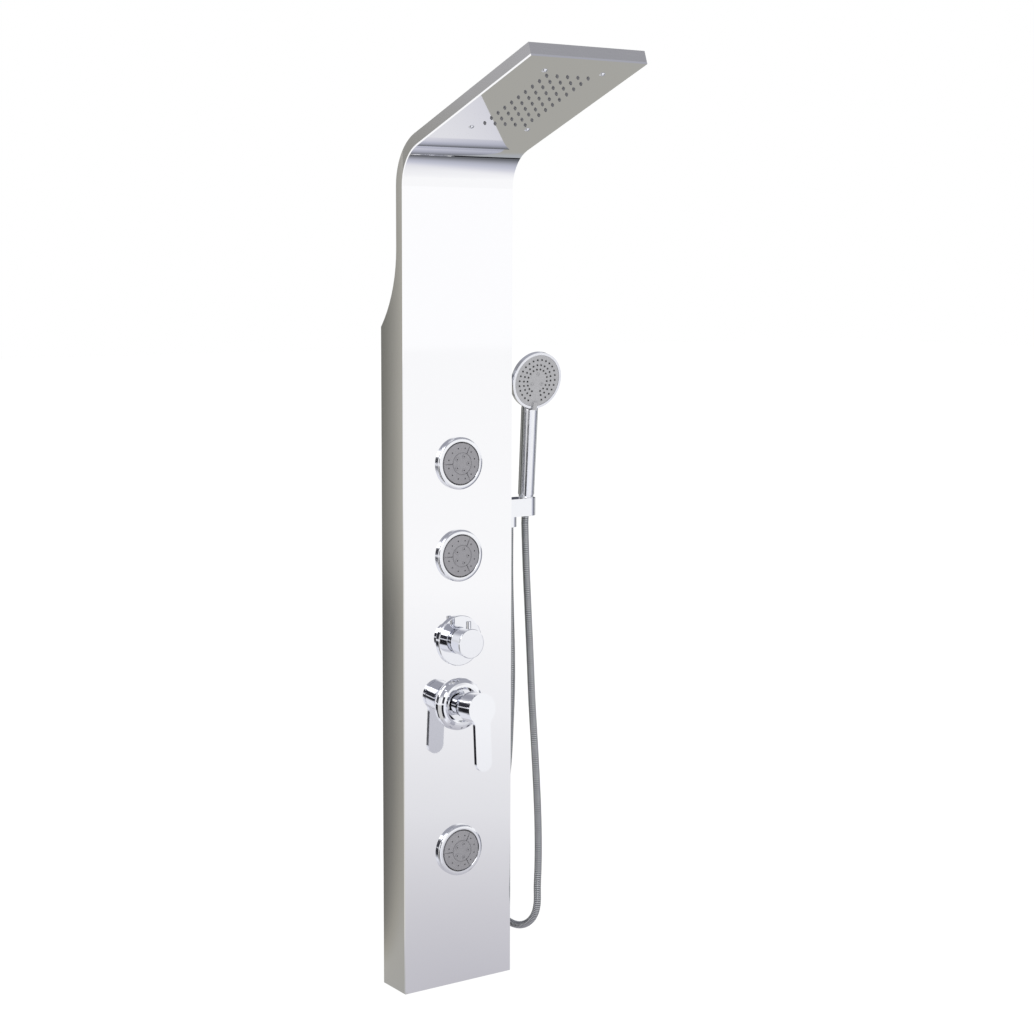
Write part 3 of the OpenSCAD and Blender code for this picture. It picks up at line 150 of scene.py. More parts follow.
def emboss(tree, shader, height, depth, under=None):
    """Bumps the shader by a height of 0 to 1 times depth in metres, over another bump."""
    inputs = {"Height": height, "Distance": depth, "Strength": 1.0}
    if under is not None:
        inputs["Normal"] = under
    bump = add(tree, "ShaderNodeBump", inputs)
    tree.links.new(bump.outputs["Normal"], shader.inputs["Normal"])
    return bump


def blotch(tree, shader, factor, colour, dark, light=1.0):
    """Lets the base colour drift between two shares of a colour."""
    stops = [(NOISE_LOW, shade(colour, dark)), (NOISE_HIGH, shade(colour, light))]
    tree.links.new(ramp(tree, factor, stops), shader.inputs["Base Color"])


def smear(tree, shader, factor, low, high):
    """Lets the roughness drift from low to high."""
    made = add(
        tree,
        "ShaderNodeMapRange",
        {
            "Value": factor,
            "From Min": NOISE_LOW,
            "From Max": NOISE_HIGH,
            "To Min": low,
            "To Max": high,
        },
    )
    tree.links.new(made.outputs["Result"], shader.inputs["Roughness"])


def dress(material, *nodes):
    """Gives packed parts a material."""
    for name in nodes:
        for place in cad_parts[name].material_slots:
            place.material = material


# ---------------------------------------------------------------- settings


def colour_property(name, description, code):
    return bpy.props.FloatVectorProperty(
        name=name,
        description=description,
        subtype="COLOR",
        size=3,
        min=0,
        max=1,
        default=srgb(code),
    )


def roughness_property(name, description, default):
    return bpy.props.FloatProperty(
        name=name, description=description, subtype="FACTOR", min=0, max=1, default=default
    )


def length_property(name, description, low, high, default):
    return bpy.props.FloatProperty(
        name=name,
        description=description,
        unit="LENGTH",
        min=low,
        max=high,
        default=default,
    )


def angle_property(name, description, degrees):
    return bpy.props.FloatProperty(
        name=name, description=description, subtype="ANGLE", default=math.radians(degrees)
    )


class MetalSettings(bpy.types.PropertyGroup):
    """Colours and gloss of the metals"""

    mirror: colour_property("Mirror steel", "Polished front sheet", "#F0F0F2")
    side: colour_property("Side steel", "Polished side sheets", "#DEDDDB")
    chrome: colour_property("Chrome", "Plated fittings", "#EAEBEF")
    zinc: colour_property("Zinc", "Rails, brackets and screws", "#A9B0B6")
    brass: colour_property("Brass", "Castings and nuts", "#C7A35A")
    hose: colour_property("Hose steel", "Crests of the hose's ribs", "#C6C8CA")
    mirror_roughness: roughness_property(
        "Mirror roughness", "Roughness of the mirror sheet", 0.03
    )
    side_roughness: roughness_property(
        "Side roughness", "Roughness of the side sheets", 0.16
    )


class PlasticSettings(bpy.types.PropertyGroup):
    """Colours of the plastics and the rubber"""

    jet: colour_property("Jet grey", "Swivelling jet faces", "#A09FA4")
    spray: colour_property("Spray grey", "Handset's spray face", "#BEBEC1")
    white: colour_property("White", "Cups, pipes and the rain chamber", "#E8E7E2")
    ivory: colour_property("Ivory", "Mixer cartridge", "#DDD3BA")
    black: colour_property("Black", "Bottom cap and plastic nuts", "#2B2B2D")
    rubber: colour_property("Rubber", "Handset's nozzles and the washers", "#141415")
    rain: colour_property("Rain rubber", "Nozzles of the rain head", "#77777B")


class HoseSettings(bpy.types.PropertyGroup):
    """Sizes of the ribbed hose"""

    diameter: length_property(
        "Diameter", "Outside diameter over the ribs", 8 * MM, 16 * MM, 12 * MM
    )
    pitch: length_property(
        "Rib pitch", "Distance from rib to rib", 2 * MM, 10 * MM, 3.1 * MM
    )
    depth: length_property(
        "Rib depth", "Depth of the valley between two ribs", 0.2 * MM, 2 * MM, 0.6 * MM
    )
    sides: bpy.props.IntProperty(
        name="Sides", description="Sides of the hose's round", min=8, max=48, default=18
    )


class StudioSettings(bpy.types.PropertyGroup):
    """Camera, floor and light"""

    place: bpy.props.FloatVectorProperty(
        name="Camera place",
        description="Where the camera stands",
        subtype="TRANSLATION",
        unit="LENGTH",
        size=3,
        default=(-1.68572, -2.67119, 1.14969),
    )
    yaw: angle_property("Yaw", "Camera's turn from the wall's square, to the right", 34.588)
    pitch: angle_property("Pitch", "Camera's tilt below level", 7.253)
    roll: angle_property("Roll", "Camera's roll about its own line of sight", 0.224)
    lens: bpy.props.FloatProperty(
        name="Lens",
        description="Focal length on a 36 mm sensor",
        subtype="DISTANCE_CAMERA",
        min=10,
        max=300,
        default=69.69,
    )
    floor: length_property("Floor", "Width of the floor", 2, 100, 40.0)
    key: bpy.props.FloatProperty(
        name="Key light",
        description="Power of the large lamp in front",
        unit="POWER",
        min=0,
        max=500,
        default=22.0,
    )
    light: colour_property("Light", "Colour of the even light on matt surfaces", "#FFFFFF")


# ---------------------------------------------------------------- finishes

# How far sideways the mirror sheet's surface faces where its folded lip starts
LIP_TURN = (0.8, 0.9)
# How much the round lip's outer face leans to the front, as a slope
LIP_SLOPE = 0.6
# The side sheets' depth, from the front to the wall, as -1 to 1
SIDE_DEPTH = {"From Min": -66 * MM, "From Max": 0.0, "To Min": -1.0, "To Max": 1.0}
# How far their edges fall below their middle
SIDE_FALL = 1.8 * MM
# Painted shade in the valleys: share of the hose's colour by height, from a valley at 0 to
# a crest at 1
RIB_PAINTED_SHADE = ((0.0, 0.05), (0.4, 0.35), (0.85, 1.0))


def mirror_steel(metal):
    # A true mirror: clear reflections, with the long waves of thin sheet, 200 mm or more,
    # and polishing lines drawn 1 mm wide, which is coarser than real so that they show.
    # Its folded lip is a little round, so the edge beside the side sheets looks bright.
    rough = metal.mirror_roughness
    material, tree, shader = new_material("mirror_steel", metal.mirror, 1.0, rough)
    waves = grain(tree, 5, stretch=(1, 1, 0.5), detail=1.0)
    swell = emboss(tree, shader, waves, 0.02 * MM)
    polish = grain(tree, 900, stretch=(1, 1, 0.02))
    skin = emboss(tree, shader, polish, 0.0004 * MM, under=swell)
    place = add(tree, "ShaderNodeTexCoord").outputs
    facing = add(tree, "ShaderNodeSeparateXYZ", {0: place["Normal"]}).outputs["X"]
    sideways = add(tree, "ShaderNodeMath", {0: facing}, operation="ABSOLUTE")
    back = add(tree, "ShaderNodeSeparateXYZ", {0: place["Object"]}).outputs["Y"]
    lip = past(tree, (sideways, LIP_TURN))
    lean = add(tree, "ShaderNodeMath", {0: lip, 1: back}, operation="MULTIPLY")
    emboss(tree, shader, lean, LIP_SLOPE, under=skin)
    haze = grain(tree, 14, stretch=(1, 1, 0.4), detail=3.0)
    smear(tree, shader, haze, rough * 0.6, rough * 1.6)
    return material


def polished_steel(metal):
    # Polished but not mirror-clear: soft reflections along a sheet that folding has left a
    # little crowned, streaked by polishing lines drawn 1.4 mm wide, coarser than real.
    rough = metal.side_roughness
    material, tree, shader = new_material(
        "polished_steel", metal.side, 1.0, rough, Anisotropic=0.35
    )
    place = add(tree, "ShaderNodeTexCoord").outputs["Object"]
    back = add(tree, "ShaderNodeSeparateXYZ", {0: place}).outputs["Y"]
    centred = add(tree, "ShaderNodeMapRange", {"Value": back, **SIDE_DEPTH})
    dome = add(tree, "ShaderNodeMath", {0: centred, 1: centred}, operation="MULTIPLY")
    crown = emboss(tree, shader, dome, -SIDE_FALL)
    streaks = grain(tree, 700, stretch=(1, 1, 0.03), detail=3.0)
    emboss(tree, shader, streaks, 0.002 * MM, under=crown)
    haze = grain(tree, 20, stretch=(1, 1, 0.3), detail=3.0)
    smear(tree, shader, haze, rough * 0.75, rough * 1.3)
    return material


def plated(name, metal, roughness, swell, skin, haze):
    """Chrome with a swell and a finer skin, each as its cells to the metre and its depth,
    and with a haze, as its cells to the metre and its least and most roughness."""
    material, tree, shader = new_material(name, metal.chrome, 1.0, roughness)
    wavy = emboss(tree, shader, grain(tree, swell[0], detail=1.0), swell[1])
    emboss(tree, shader, grain(tree, skin[0]), skin[1], under=wavy)
    smear(tree, shader, grain(tree, haze[0], detail=3.0), *haze[1:])
    return material


def chrome(metal):
    # Deep, liquid plating with the slight unevenness of a polished casting under it, about
    # 17 mm across, and a skin of 0.4 mm.
    return plated(
        "chrome",
        metal,
        0.05,
        swell=(60, 0.004 * MM),
        skin=(2500, 0.0004 * MM),
        haze=(90, 0.035, 0.08),
    )


def plated_plastic(metal):
    # Chromed plastic: the same bright plating over a moulded skin, so softer and wavier.
    return plated(
        "plated_plastic",
        metal,
        0.14,
        swell=(45, 0.008 * MM),
        skin=(1800, 0.001 * MM),
        haze=(70, 0.11, 0.19),
    )


def zinc_plate(metal):
    # Passivated zinc: bluish and half-dull, in clouds of 7 mm, as on wall brackets and
    # screws.
    material, tree, shader = new_material("zinc_plate", metal.zinc, 1.0, 0.4)
    cloud = grain(tree, 140, detail=4.0)
    blotch(tree, shader, cloud, metal.zinc, 0.78)
    smear(tree, shader, cloud, 0.32, 0.5)
    emboss(tree, shader, grain(tree, 1800), 0.004 * MM)
    return material


def cast_brass(metal):
    # Sand-cast brass: warm and dull, with a skin of 0.5 mm sand grains over 2 mm pits.
    material, tree, shader = new_material("cast_brass", metal.brass, 1.0, 0.38)
    blotch(tree, shader, grain(tree, 70, detail=4.0), metal.brass, 0.7)
    pits = emboss(tree, shader, grain(tree, 500, detail=3.0), 0.04 * MM)
    emboss(tree, shader, grain(tree, 2200), 0.01 * MM, under=pits)
    smear(tree, shader, grain(tree, 160, detail=3.0), 0.3, 0.5)
    return material


def moulded(name, colour, roughness, texture):
    # Moulded plastic: an even colour with a fine spark-eroded grain of 0.3 mm that breaks
    # its sheen.
    material, tree, shader = new_material(name, colour, 0.0, roughness)
    blotch(tree, shader, grain(tree, 220, detail=4.0), colour, 0.94)
    emboss(tree, shader, grain(tree, 3200, detail=3.0), texture)
    smear(tree, shader, grain(tree, 60), roughness * 0.85, roughness * 1.15)
    return material


def silicone(name, colour):
    # Soft nozzle rubber: waxy and a little dusty, with a 0.4 mm grain.
    material, tree, shader = new_material(name, colour, 0.0, 0.5, Sheen_Weight=0.15)
    blotch(tree, shader, grain(tree, 400, detail=4.0), colour, 0.8, 1.15)
    emboss(tree, shader, grain(tree, 2600, detail=3.0), 0.02 * MM)
    return material


def ribbed_steel(metal):
    # Bright crests over valleys darkened with painted shade, so the hose reads as wound
    # strip from afar.
    material, tree, shader = new_material("ribbed_steel", metal.hose, 1.0, 0.16)
    height = add(tree, "ShaderNodeAttribute", attribute_name="rib_height").outputs["Fac"]
    # Painted shade: the valleys get a darker base colour than the crests
    stops = [(place, shade(metal.hose, share)) for place, share in RIB_PAINTED_SHADE]
    tree.links.new(ramp(tree, height, stops), shader.inputs["Base Color"])
    emboss(tree, shader, grain(tree, 1500, detail=3.0), 0.004 * MM)
    smear(tree, shader, grain(tree, 300, detail=3.0), 0.1, 0.24)
    return material


# ---------------------------------------------------------------- hose

HOSE_START = Vector((116, -38, 727.95)) * MM
HOSE_FINISH = Vector((147.5, -35.7381, 744.0231)) * MM
# Straight length at each end, down from the outlet nut and up into the handset's nut
HOSE_END = 12 * MM
HOSE_IN = Vector((0, 0, -1))
HOSE_LEAN = math.radians(3.7)
HOSE_OUT = Vector((0, -math.sin(HOSE_LEAN), math.cos(HOSE_LEAN)))
# Route between the two straight ends, in millimetres, as the source of the part has it
HOSE_ROUTE = [
    (116.1, -37.8, 655), (117.2, -38.8, 590), (118.5, -40.1, 525), (118.6, -40.4, 465),
    (117.5, -38.7, 405), (116.6, -35.7, 350), (114.9, -30.1, 300), (111.8, -22.2, 253),
    (109.2, -15, 210), (107.4, -10, 174), (106.8, -7.8, 144.2), (106.5, -6.4, 116.2),
    (107.9, -12.1, 96.2), (111, -25, 80.8), (115.2, -42.6, 72.2), (119.8, -62.3, 71.7),
    (124, -80.6, 79.5), (127.2, -94.7, 95), (129, -101.1, 116.1), (129.5, -100.8, 146.7),
    (130.4, -101.3, 180), (131, -100.7, 220), (131.7, -97.7, 268), (132.6, -91.8, 324),
    (134.1, -83.4, 384), (136.5, -73, 447), (139.8, -62.8, 515), (143.1, -51.8, 588),
    (146, -41.3, 662),
]  # fmt: skip
# Points of the curve from one point of the route to the next
HOSE_STEPS = 24
RINGS_PER_RIB = 8.0
# Where a rib rises from its valley to its crest, on a wave from 0 to 1
RIB_RISE = (0.03, 0.5)


def hose_path():
    """Points of the smooth curve through the hose's route."""
    knots = [
        HOSE_START,
        HOSE_START + HOSE_IN * HOSE_END,
        *[Vector(p) * MM for p in HOSE_ROUTE],
        HOSE_FINISH - HOSE_OUT * HOSE_END,
        HOSE_FINISH,
    ]
    points = [knots[0]]
    for a, b, c, d in zip(knots, knots[1:], knots[2:], knots[3:]):
        for part in range(HOSE_STEPS):
            t = part / HOSE_STEPS
            points.append(
                (
                    2 * b
                    + (c - a) * t
                    + (2 * a - 5 * b + 4 * c - d) * t**2
                    + (3 * b - a - 3 * c + d) * t**3
                )
                / 2
            )
    return [*points, knots[-2], knots[-1]]


def hose_tree():
    """Geometry Nodes that turn a curve into a ribbed tube."""
    tree = bpy.data.node_groups.new("ribbed_hose", "GeometryNodeTree")
    for name, kind in (
        ("Curve", "Geometry"),
        ("Diameter", "Float"),
        ("Rib Pitch", "Float"),
        ("Rib Depth", "Float"),
        ("Sides", "Int"),
        ("Material", "Material"),
    ):
        tree.interface.new_socket(name, in_out="INPUT", socket_type=f"NodeSocket{kind}")
    tree.interface.new_socket("Mesh", in_out="OUTPUT", socket_type="NodeSocketGeometry")
    given = add(tree, "NodeGroupInput").outputs

    pitch = given["Rib Pitch"]
    gap = add(tree, "ShaderNodeMath", {0: pitch, 1: RINGS_PER_RIB}, operation="DIVIDE")
    rings = add(
        tree,
        "GeometryNodeResampleCurve",
        {"Curve": given["Curve"], "Length": gap},
        mode="LENGTH",
    )
    along = add(tree, "GeometryNodeSplineParameter").outputs["Length"]
    ribs = add(tree, "ShaderNodeMath", {0: along, 1: pitch}, operation="DIVIDE")
    turn = add(tree, "ShaderNodeMath", {0: ribs, 1: math.tau}, operation="MULTIPLY")
    swing = add(tree, "ShaderNodeMath", {0: turn}, operation="COSINE")
    wave = add(
        tree, "ShaderNodeMath", {0: swing, 1: -0.5, 2: 0.5}, operation="MULTIPLY_ADD"
    )
    height = past(tree, (wave, RIB_RISE))
    kept = add(
        tree,
        "GeometryNodeStoreNamedAttribute",
        {"Geometry": rings, "Name": "rib_height", "Value": height},
        data_type="FLOAT",
        domain="POINT",
    )
    lower = add(tree, "ShaderNodeMath", {0: 1.0, 1: height}, operation="SUBTRACT")
    valley = add(
        tree, "ShaderNodeMath", {0: given["Rib Depth"], 1: lower}, operation="MULTIPLY"
    )
    half = add(
        tree, "ShaderNodeMath", {0: given["Diameter"], 1: 0.5}, operation="MULTIPLY"
    )
    radius = add(tree, "ShaderNodeMath", {0: half, 1: valley}, operation="SUBTRACT")
    circle = add(
        tree,
        "GeometryNodeCurvePrimitiveCircle",
        {"Resolution": given["Sides"], "Radius": 1.0},
        mode="RADIUS",
    )
    tube = add(
        tree,
        "GeometryNodeCurveToMesh",
        {"Curve": kept, "Profile Curve": circle, "Scale": radius, "Fill Caps": True},
    )
    smooth = add(tree, "GeometryNodeSetShadeSmooth", {"Geometry": tube})
    real = add(tree, "GeometryNodeRealizeInstances", {"Geometry": smooth})
    painted = add(
        tree,
        "GeometryNodeSetMaterial",
        {"Geometry": real, "Material": given["Material"]},
    )
    add(tree, "NodeGroupOutput", {"Mesh": painted})
    return tree


def grow(name, data, tree, values):
    """The plain mesh that Geometry Nodes make of a piece of data."""
    seed = put(name, data)
    modifier = seed.modifiers.new(name, "NODES")
    modifier.node_group = tree
    sockets = {item.name: item.identifier for item in tree.interface.items_tree}
    for key, value in values.items():
        modifier[sockets[key]] = value
    graph = bpy.context.evaluated_depsgraph_get()
    mesh = bpy.data.meshes.new_from_object(seed.evaluated_get(graph), depsgraph=graph)
    bpy.data.objects.remove(seed)
    mesh.name = name
    return put(name, mesh)


def curve_through(name, points):
    """A curve of one open run of straight spans through close points."""
    data = bpy.data.curves.new(name, "CURVE")
    data.dimensions = "3D"
    run = data.splines.new("POLY")
    run.points.add(len(points) - 1)
    run.points.foreach_set("co", [c for p in points for c in (*p, 1.0)])
    return data


# ---------------------------------------------------------------- studio

SENSOR_WIDTH = 36
CAMERA_REACH = 100
KEY_SIZE = (1.6, 2.2)
KEY_PLACE = Vector((-1.9, -2.6, 2.6))
KEY_AIM = Vector((0, 0, 0.75))

# Tones that the metals see, by degrees to the right of straight ahead of the column
CAMERA_SIDE = (
    (-180, "#8F8E8B"),
    (-120, "#8A8A8C"),
    (-100, "#D6D5D0"),
    (-60, "#D6D5D3"),
    (-51, "#1E1E22"),
    (-30, "#26262A"),
    (-27, "#F2F3F8"),
    (180, "#F2F3F8"),
)
RIGHT_FLOOR = (
    (-180, "#E4E4EA"),
    (44, "#DCDCE3"),
    (52, "#C2C4D0"),
    (60, "#B0B2BE"),
    (70, "#8E9098"),
    (80, "#66686D"),
    (180, "#66686D"),
)
REAR_FLOOR = (
    (-180, "#6A6A68"),
    (-160, "#626260"),
    (-147, "#7E7D7A"),
    (-134, "#A6A49D"),
    (-120, "#B4B3AF"),
    (85, "#A9ACB0"),
    (104, "#A9ACB0"),
    (122, "#A5A49E"),
    (180, "#A09F9A"),
)
REAR = (
    (-180, "#807F7A"),
    (-160, "#7A7A76"),
    (-147, "#9A9994"),
    (-134, "#BDBBB4"),
    (-115, "#E2E3E6"),
    (95, "#D8D9DD"),
    (118, "#8A8C8A"),
    (130, "#50544F"),
    (172, "#50544F"),
    (180, "#807F7A"),
)
REAR_WALL = (
    (-180, "#B4B4BA"),
    (118, "#C9CCD1"),
    (132, "#4E5059"),
    (160, "#4E5059"),
    (172, "#B4B4BA"),
)
CAMERA_WALL = (
    (-180, "#FFFFFF"),
    (-58, "#FFFFFF"),
    (-50, "#34343A"),
    (-29, "#34343A"),
    (-25, "#FFFFFF"),
    (180, "#FFFFFF"),
)
FAR_FLOOR = "#F4F4F6"
# Painted shadow: a black band beside the right edge of the column's foot, as the metals see
# the floor
PAINTED_FOOT_SHADOW = "#1C1C20"
REAR_TOP = "#C9CCD1"
CEILING = "#A5A6AE"
# How much brighter than written the metals see these tones
METAL_GAIN = 1.12

# Distance from the column, in metres, at which the floor is at its palest
PALE_REACH = 4.0
# Tones of the floor on the way there, by share of that distance: painted shade, grey by
# the column and fading to white
PAINTED_FLOOR_SHADE = (
    (0.0, "#BDBCC2"),
    (0.035, "#C3C2C8"),
    (0.1, "#CCCBD0"),
    (0.265, "#E2E2E5"),
    (0.5, "#F0F0F2"),
    (1.0, "#FBFBFB"),
)

# Where the floor's other tones start and are full, by distance from the column in metres
LEFT_AWAY = (0.3, 0.45)
RIGHT_AWAY = (0.45, 0.75)
REAR_AWAY = (3.5, 5.0)
FAR_AWAY = (4.0, 7.0)
# By turn to the right, in radians
RIGHT_TURN = (0.68, 0.82)
# By place to the right or backwards, in metres
RIGHT_HALF = (-0.05, 0.05)
REAR_HALF = (0.03, 0.06)
BAND_RIGHT, BAND_BACK = (0.2, 0.3), (-0.066, -0.058)
FLANK_LEFT, FLANK_BACK = (-0.09, -0.1), (-0.08, -0.066)
# Where the room's tones do, backwards or up, along a direction of length 1
ROOM_REAR = (0.0, 0.05)
ROOM_WALL = (0.06, 0.085)
ROOM_TOP = (0.18, 0.24)
ROOM_CEILING = (0.3, 0.5)

# The floor's matt colour, and what the eye gets of it: its own light, and a little of what
# falls on it, which leaves the shadow faint
FLOOR_MATT = (0.9, 0.9, 0.9, 1)
FLOOR_OWN = (0.88, 0.88, 0.88, 1)
FLOOR_FAINT = (0.2, 0.2, 0.2, 1)
# Level of the even light on matt surfaces
LIGHT_LEVEL = 0.78


def bearing(tree, axes):
    """Turn of a place or direction to the right of straight ahead, in radians."""
    ahead = add(tree, "ShaderNodeMath", {0: axes["Y"], 1: -1.0}, operation="MULTIPLY")
    return add(tree, "ShaderNodeMath", {0: axes["X"], 1: ahead}, operation="ARCTAN2")


def wheel(tree, turn, stops):
    """Tone by turn, through (degrees, written colour) stops."""
    share = add(
        tree,
        "ShaderNodeMapRange",
        {"Value": turn, "From Min": -math.pi, "From Max": math.pi},
    )
    return ramp(tree, share, [(degrees / 360 + 0.5, srgb(code)) for degrees, code in stops])


def covered(tree, tone, *covers):
    """A tone under others, each given with the edges that it lies past. A cover is a socket
    or a written colour."""
    for cover, *edges in covers:
        if isinstance(cover, str):
            cover = (*srgb(cover), 1)
        tone = add(
            tree,
            "ShaderNodeMix",
            {0: past(tree, *edges), MIX_UNDER: tone, MIX_OVER: cover},
            data_type="RGBA",
        ).outputs[MIX_RESULT]
    return tone


def pale_floor():
    # White to the eye, with the shadow left faint. To the metals it glows with painted
    # light:
    # pale grey near the column, darkened towards it with painted shade, white far ahead of
    # it, dark towards the camera, darker to the right, a painted black shadow beside the
    # right edge of the column's foot, and grey behind and along its left edge.
    material = bpy.data.materials.new("pale_floor")
    tree = blank(material)
    place = add(tree, "ShaderNodeTexCoord").outputs["Object"]
    reach = add(tree, "ShaderNodeVectorMath", {0: place}, operation="LENGTH")
    away = reach.outputs["Value"]
    axes = add(tree, "ShaderNodeSeparateXYZ", {0: place}).outputs
    turn = bearing(tree, axes)
    share = add(tree, "ShaderNodeMath", {0: away, 1: PALE_REACH}, operation="DIVIDE")
    pale = ramp(tree, share, [(part, srgb(code)) for part, code in PAINTED_FLOOR_SHADE])
    near = wheel(tree, turn, REAR_FLOOR)
    left = covered(
        tree,
        pale,
        (wheel(tree, turn, CAMERA_SIDE), (away, LEFT_AWAY)),
        (FAR_FLOOR, (away, FAR_AWAY)),
    )
    right = covered(
        tree,
        pale,
        (wheel(tree, turn, RIGHT_FLOOR), (turn, RIGHT_TURN), (away, RIGHT_AWAY)),
    )
    rear = covered(tree, near, (wheel(tree, turn, REAR), (away, REAR_AWAY)))
    tone = covered(
        tree,
        left,
        (right, (axes["X"], RIGHT_HALF)),
        # Painted shadow beside the column's foot
        (PAINTED_FOOT_SHADOW, (axes["Y"], BAND_BACK), (axes["X"], BAND_RIGHT)),
        (near, (axes["Y"], FLANK_BACK), (axes["X"], FLANK_LEFT)),
        (rear, (axes["Y"], REAR_HALF)),
    )
    # The metals see the floor's tones as its own glow: painted light, with painted shade
    # and a painted shadow
    mirrored = add(tree, "ShaderNodeEmission", {"Color": tone, "Strength": METAL_GAIN})
    matt = add(tree, "ShaderNodeBsdfDiffuse", {"Color": FLOOR_MATT})
    own = add(tree, "ShaderNodeEmission", {"Color": FLOOR_OWN})
    faint = add(tree, "ShaderNodeBsdfDiffuse", {"Color": FLOOR_FAINT})
    seen = add(tree, "ShaderNodeAddShader", {0: own, 1: faint})
    path = add(tree, "ShaderNodeLightPath").outputs
    plain = add(tree, "ShaderNodeMixShader", {0: path["Is Camera Ray"], 1: matt, 2: seen})
    mixed = add(
        tree, "ShaderNodeMixShader", {0: path["Is Glossy Ray"], 1: plain, 2: mirrored}
    )
    add(tree, "ShaderNodeOutputMaterial", {"Surface": mixed})
    return material


def stand_camera(scene, studio):
    data = bpy.data.cameras.new("camera")
    data.lens = studio.lens
    data.sensor_width = SENSOR_WIDTH
    data.clip_end = CAMERA_REACH
    camera = put("camera", data)
    turn = (
        Matrix.Rotation(-studio.yaw, 4, "Z")
        @ Matrix.Rotation(math.radians(90) - studio.pitch, 4, "X")
        @ Matrix.Rotation(studio.roll, 4, "Z")
    )
    camera.matrix_world = Matrix.Translation(studio.place) @ turn
    scene.camera = camera


def lay_floor(studio):
    half = studio.floor / 2
    corners = [(-half, -half, 0), (half, -half, 0), (half, half, 0), (-half, half, 0)]
    mesh = bpy.data.meshes.new("floor")
    mesh.from_pydata(corners, [], [(0, 1, 2, 3)])
    mesh.materials.append(pale_floor())
    put("floor", mesh)


def build_room(scene, studio):
    # As the metals see it: a white tent in front with a dark gap for the camera, a grey
    # room behind with a dark door, and a bluish ceiling. Matt surfaces get an even light.
    scene.world = bpy.data.worlds.new("studio")
    tree = blank(scene.world)
    aim = add(tree, "ShaderNodeTexCoord").outputs["Generated"]
    axes = add(tree, "ShaderNodeSeparateXYZ", {0: aim}).outputs
    turn = bearing(tree, axes)
    rear = covered(
        tree,
        wheel(tree, turn, REAR),
        (wheel(tree, turn, REAR_WALL), (axes["Z"], ROOM_WALL)),
        (REAR_TOP, (axes["Z"], ROOM_TOP)),
    )
    room = covered(
        tree,
        wheel(tree, turn, CAMERA_WALL),
        (rear, (axes["Y"], ROOM_REAR)),
        (CEILING, (axes["Z"], ROOM_CEILING)),
    )
    strong = add(tree, "ShaderNodeVectorMath", {0: room, 3: METAL_GAIN}, operation="SCALE")
    path = add(tree, "ShaderNodeLightPath").outputs
    light = (*shade(studio.light, LIGHT_LEVEL), 1)
    tone = add(
        tree,
        "ShaderNodeMix",
        {0: path["Is Diffuse Ray"], MIX_UNDER: strong, MIX_OVER: light},
        data_type="RGBA",
    ).outputs[MIX_RESULT]
    lit = add(tree, "ShaderNodeBackground", {"Color": tone})
    white = add(tree, "ShaderNodeBackground", {"Color": (1, 1, 1, 1)})
    mixed = add(tree, "ShaderNodeMixShader", {0: path["Is Camera Ray"], 1: lit, 2: white})
    add(tree, "ShaderNodeOutputWorld", {"Surface": mixed})


def hang_key(studio):
    data = bpy.data.lights.new("key", "AREA")
    data.shape = "RECTANGLE"
    data.size, data.size_y = KEY_SIZE
    data.energy = studio.key
    lamp = put("key", data)
    lamp.location = KEY_PLACE
    lamp.rotation_mode = "QUATERNION"
    lamp.rotation_quaternion = (KEY_AIM - KEY_PLACE).to_track_quat("-Z", "Y")


# ---------------------------------------------------------------- operators


class SHOWER_OT_studio(bpy.types.Operator):
    """Set up the camera, the pale floor and the soft light"""

    bl_idname = "shower.studio"
    bl_label = "Studio"

    def execute(self, context):
        scene = context.scene
        studio = scene.shower_studio
        scene.view_settings.view_transform = "Standard"
        stand_camera(scene, studio)
        lay_floor(studio)
        build_room(scene, studio)
        hang_key(studio)
        return {"FINISHED"}


class SHOWER_OT_hose(bpy.types.Operator):
    """Make the ribbed hose from the outlet nut down and up to the handset"""

    bl_idname = "shower.hose"
    bl_label = "Ribbed hose"

    def execute(self, context):
        sizes = context.scene.shower_hose
        points = hose_path()
        hose = grow(
            "ribbed_hose",
            curve_through("hose_route", points),
            hose_tree(),
            {
                "Diameter": sizes.diameter,
                "Rib Pitch": sizes.pitch,
                "Rib Depth": sizes.depth,
                "Sides": sizes.sides,
                "Material": ribbed_steel(context.scene.shower_metal),
            },
        )
        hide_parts("shower_hose")
        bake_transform(hose)
        return {"FINISHED"}


class SHOWER_OT_sheet_metal(bpy.types.Operator):
    """Finish the mirror front, the side sheets and the bottom cap"""

    bl_idname = "shower.sheet_metal"
    bl_label = "Sheet metal"

    def execute(self, context):
        metal = context.scene.shower_metal
        plastic = context.scene.shower_plastic
        dress(mirror_steel(metal), "front_panel")
        dress(
            polished_steel(metal),
            "left_side_plate",
            "right_side_plate",
            "back_cover",
            "head_tip_plate",
        )
        dress(moulded("cap_plastic", plastic.black, 0.5, 0.02 * MM), "bottom_cap")
        return {"FINISHED"}


class SHOWER_OT_wall_fixings(bpy.types.Operator):
    """Finish the rails, the wall brackets, and the screws and pins"""

    bl_idname = "shower.wall_fixings"
    bl_label = "Wall fixings"

    def execute(self, context):
        dress(
            zinc_plate(context.scene.shower_metal),
            "upper_rail",
            "lower_rail",
            "upper_wall_bracket",
            "lower_wall_bracket",
            "rail_screws",
            "mixer_pivot_pin",
            "mixer_stem",
            "mixer_lever_screw",
        )
        return {"FINISHED"}


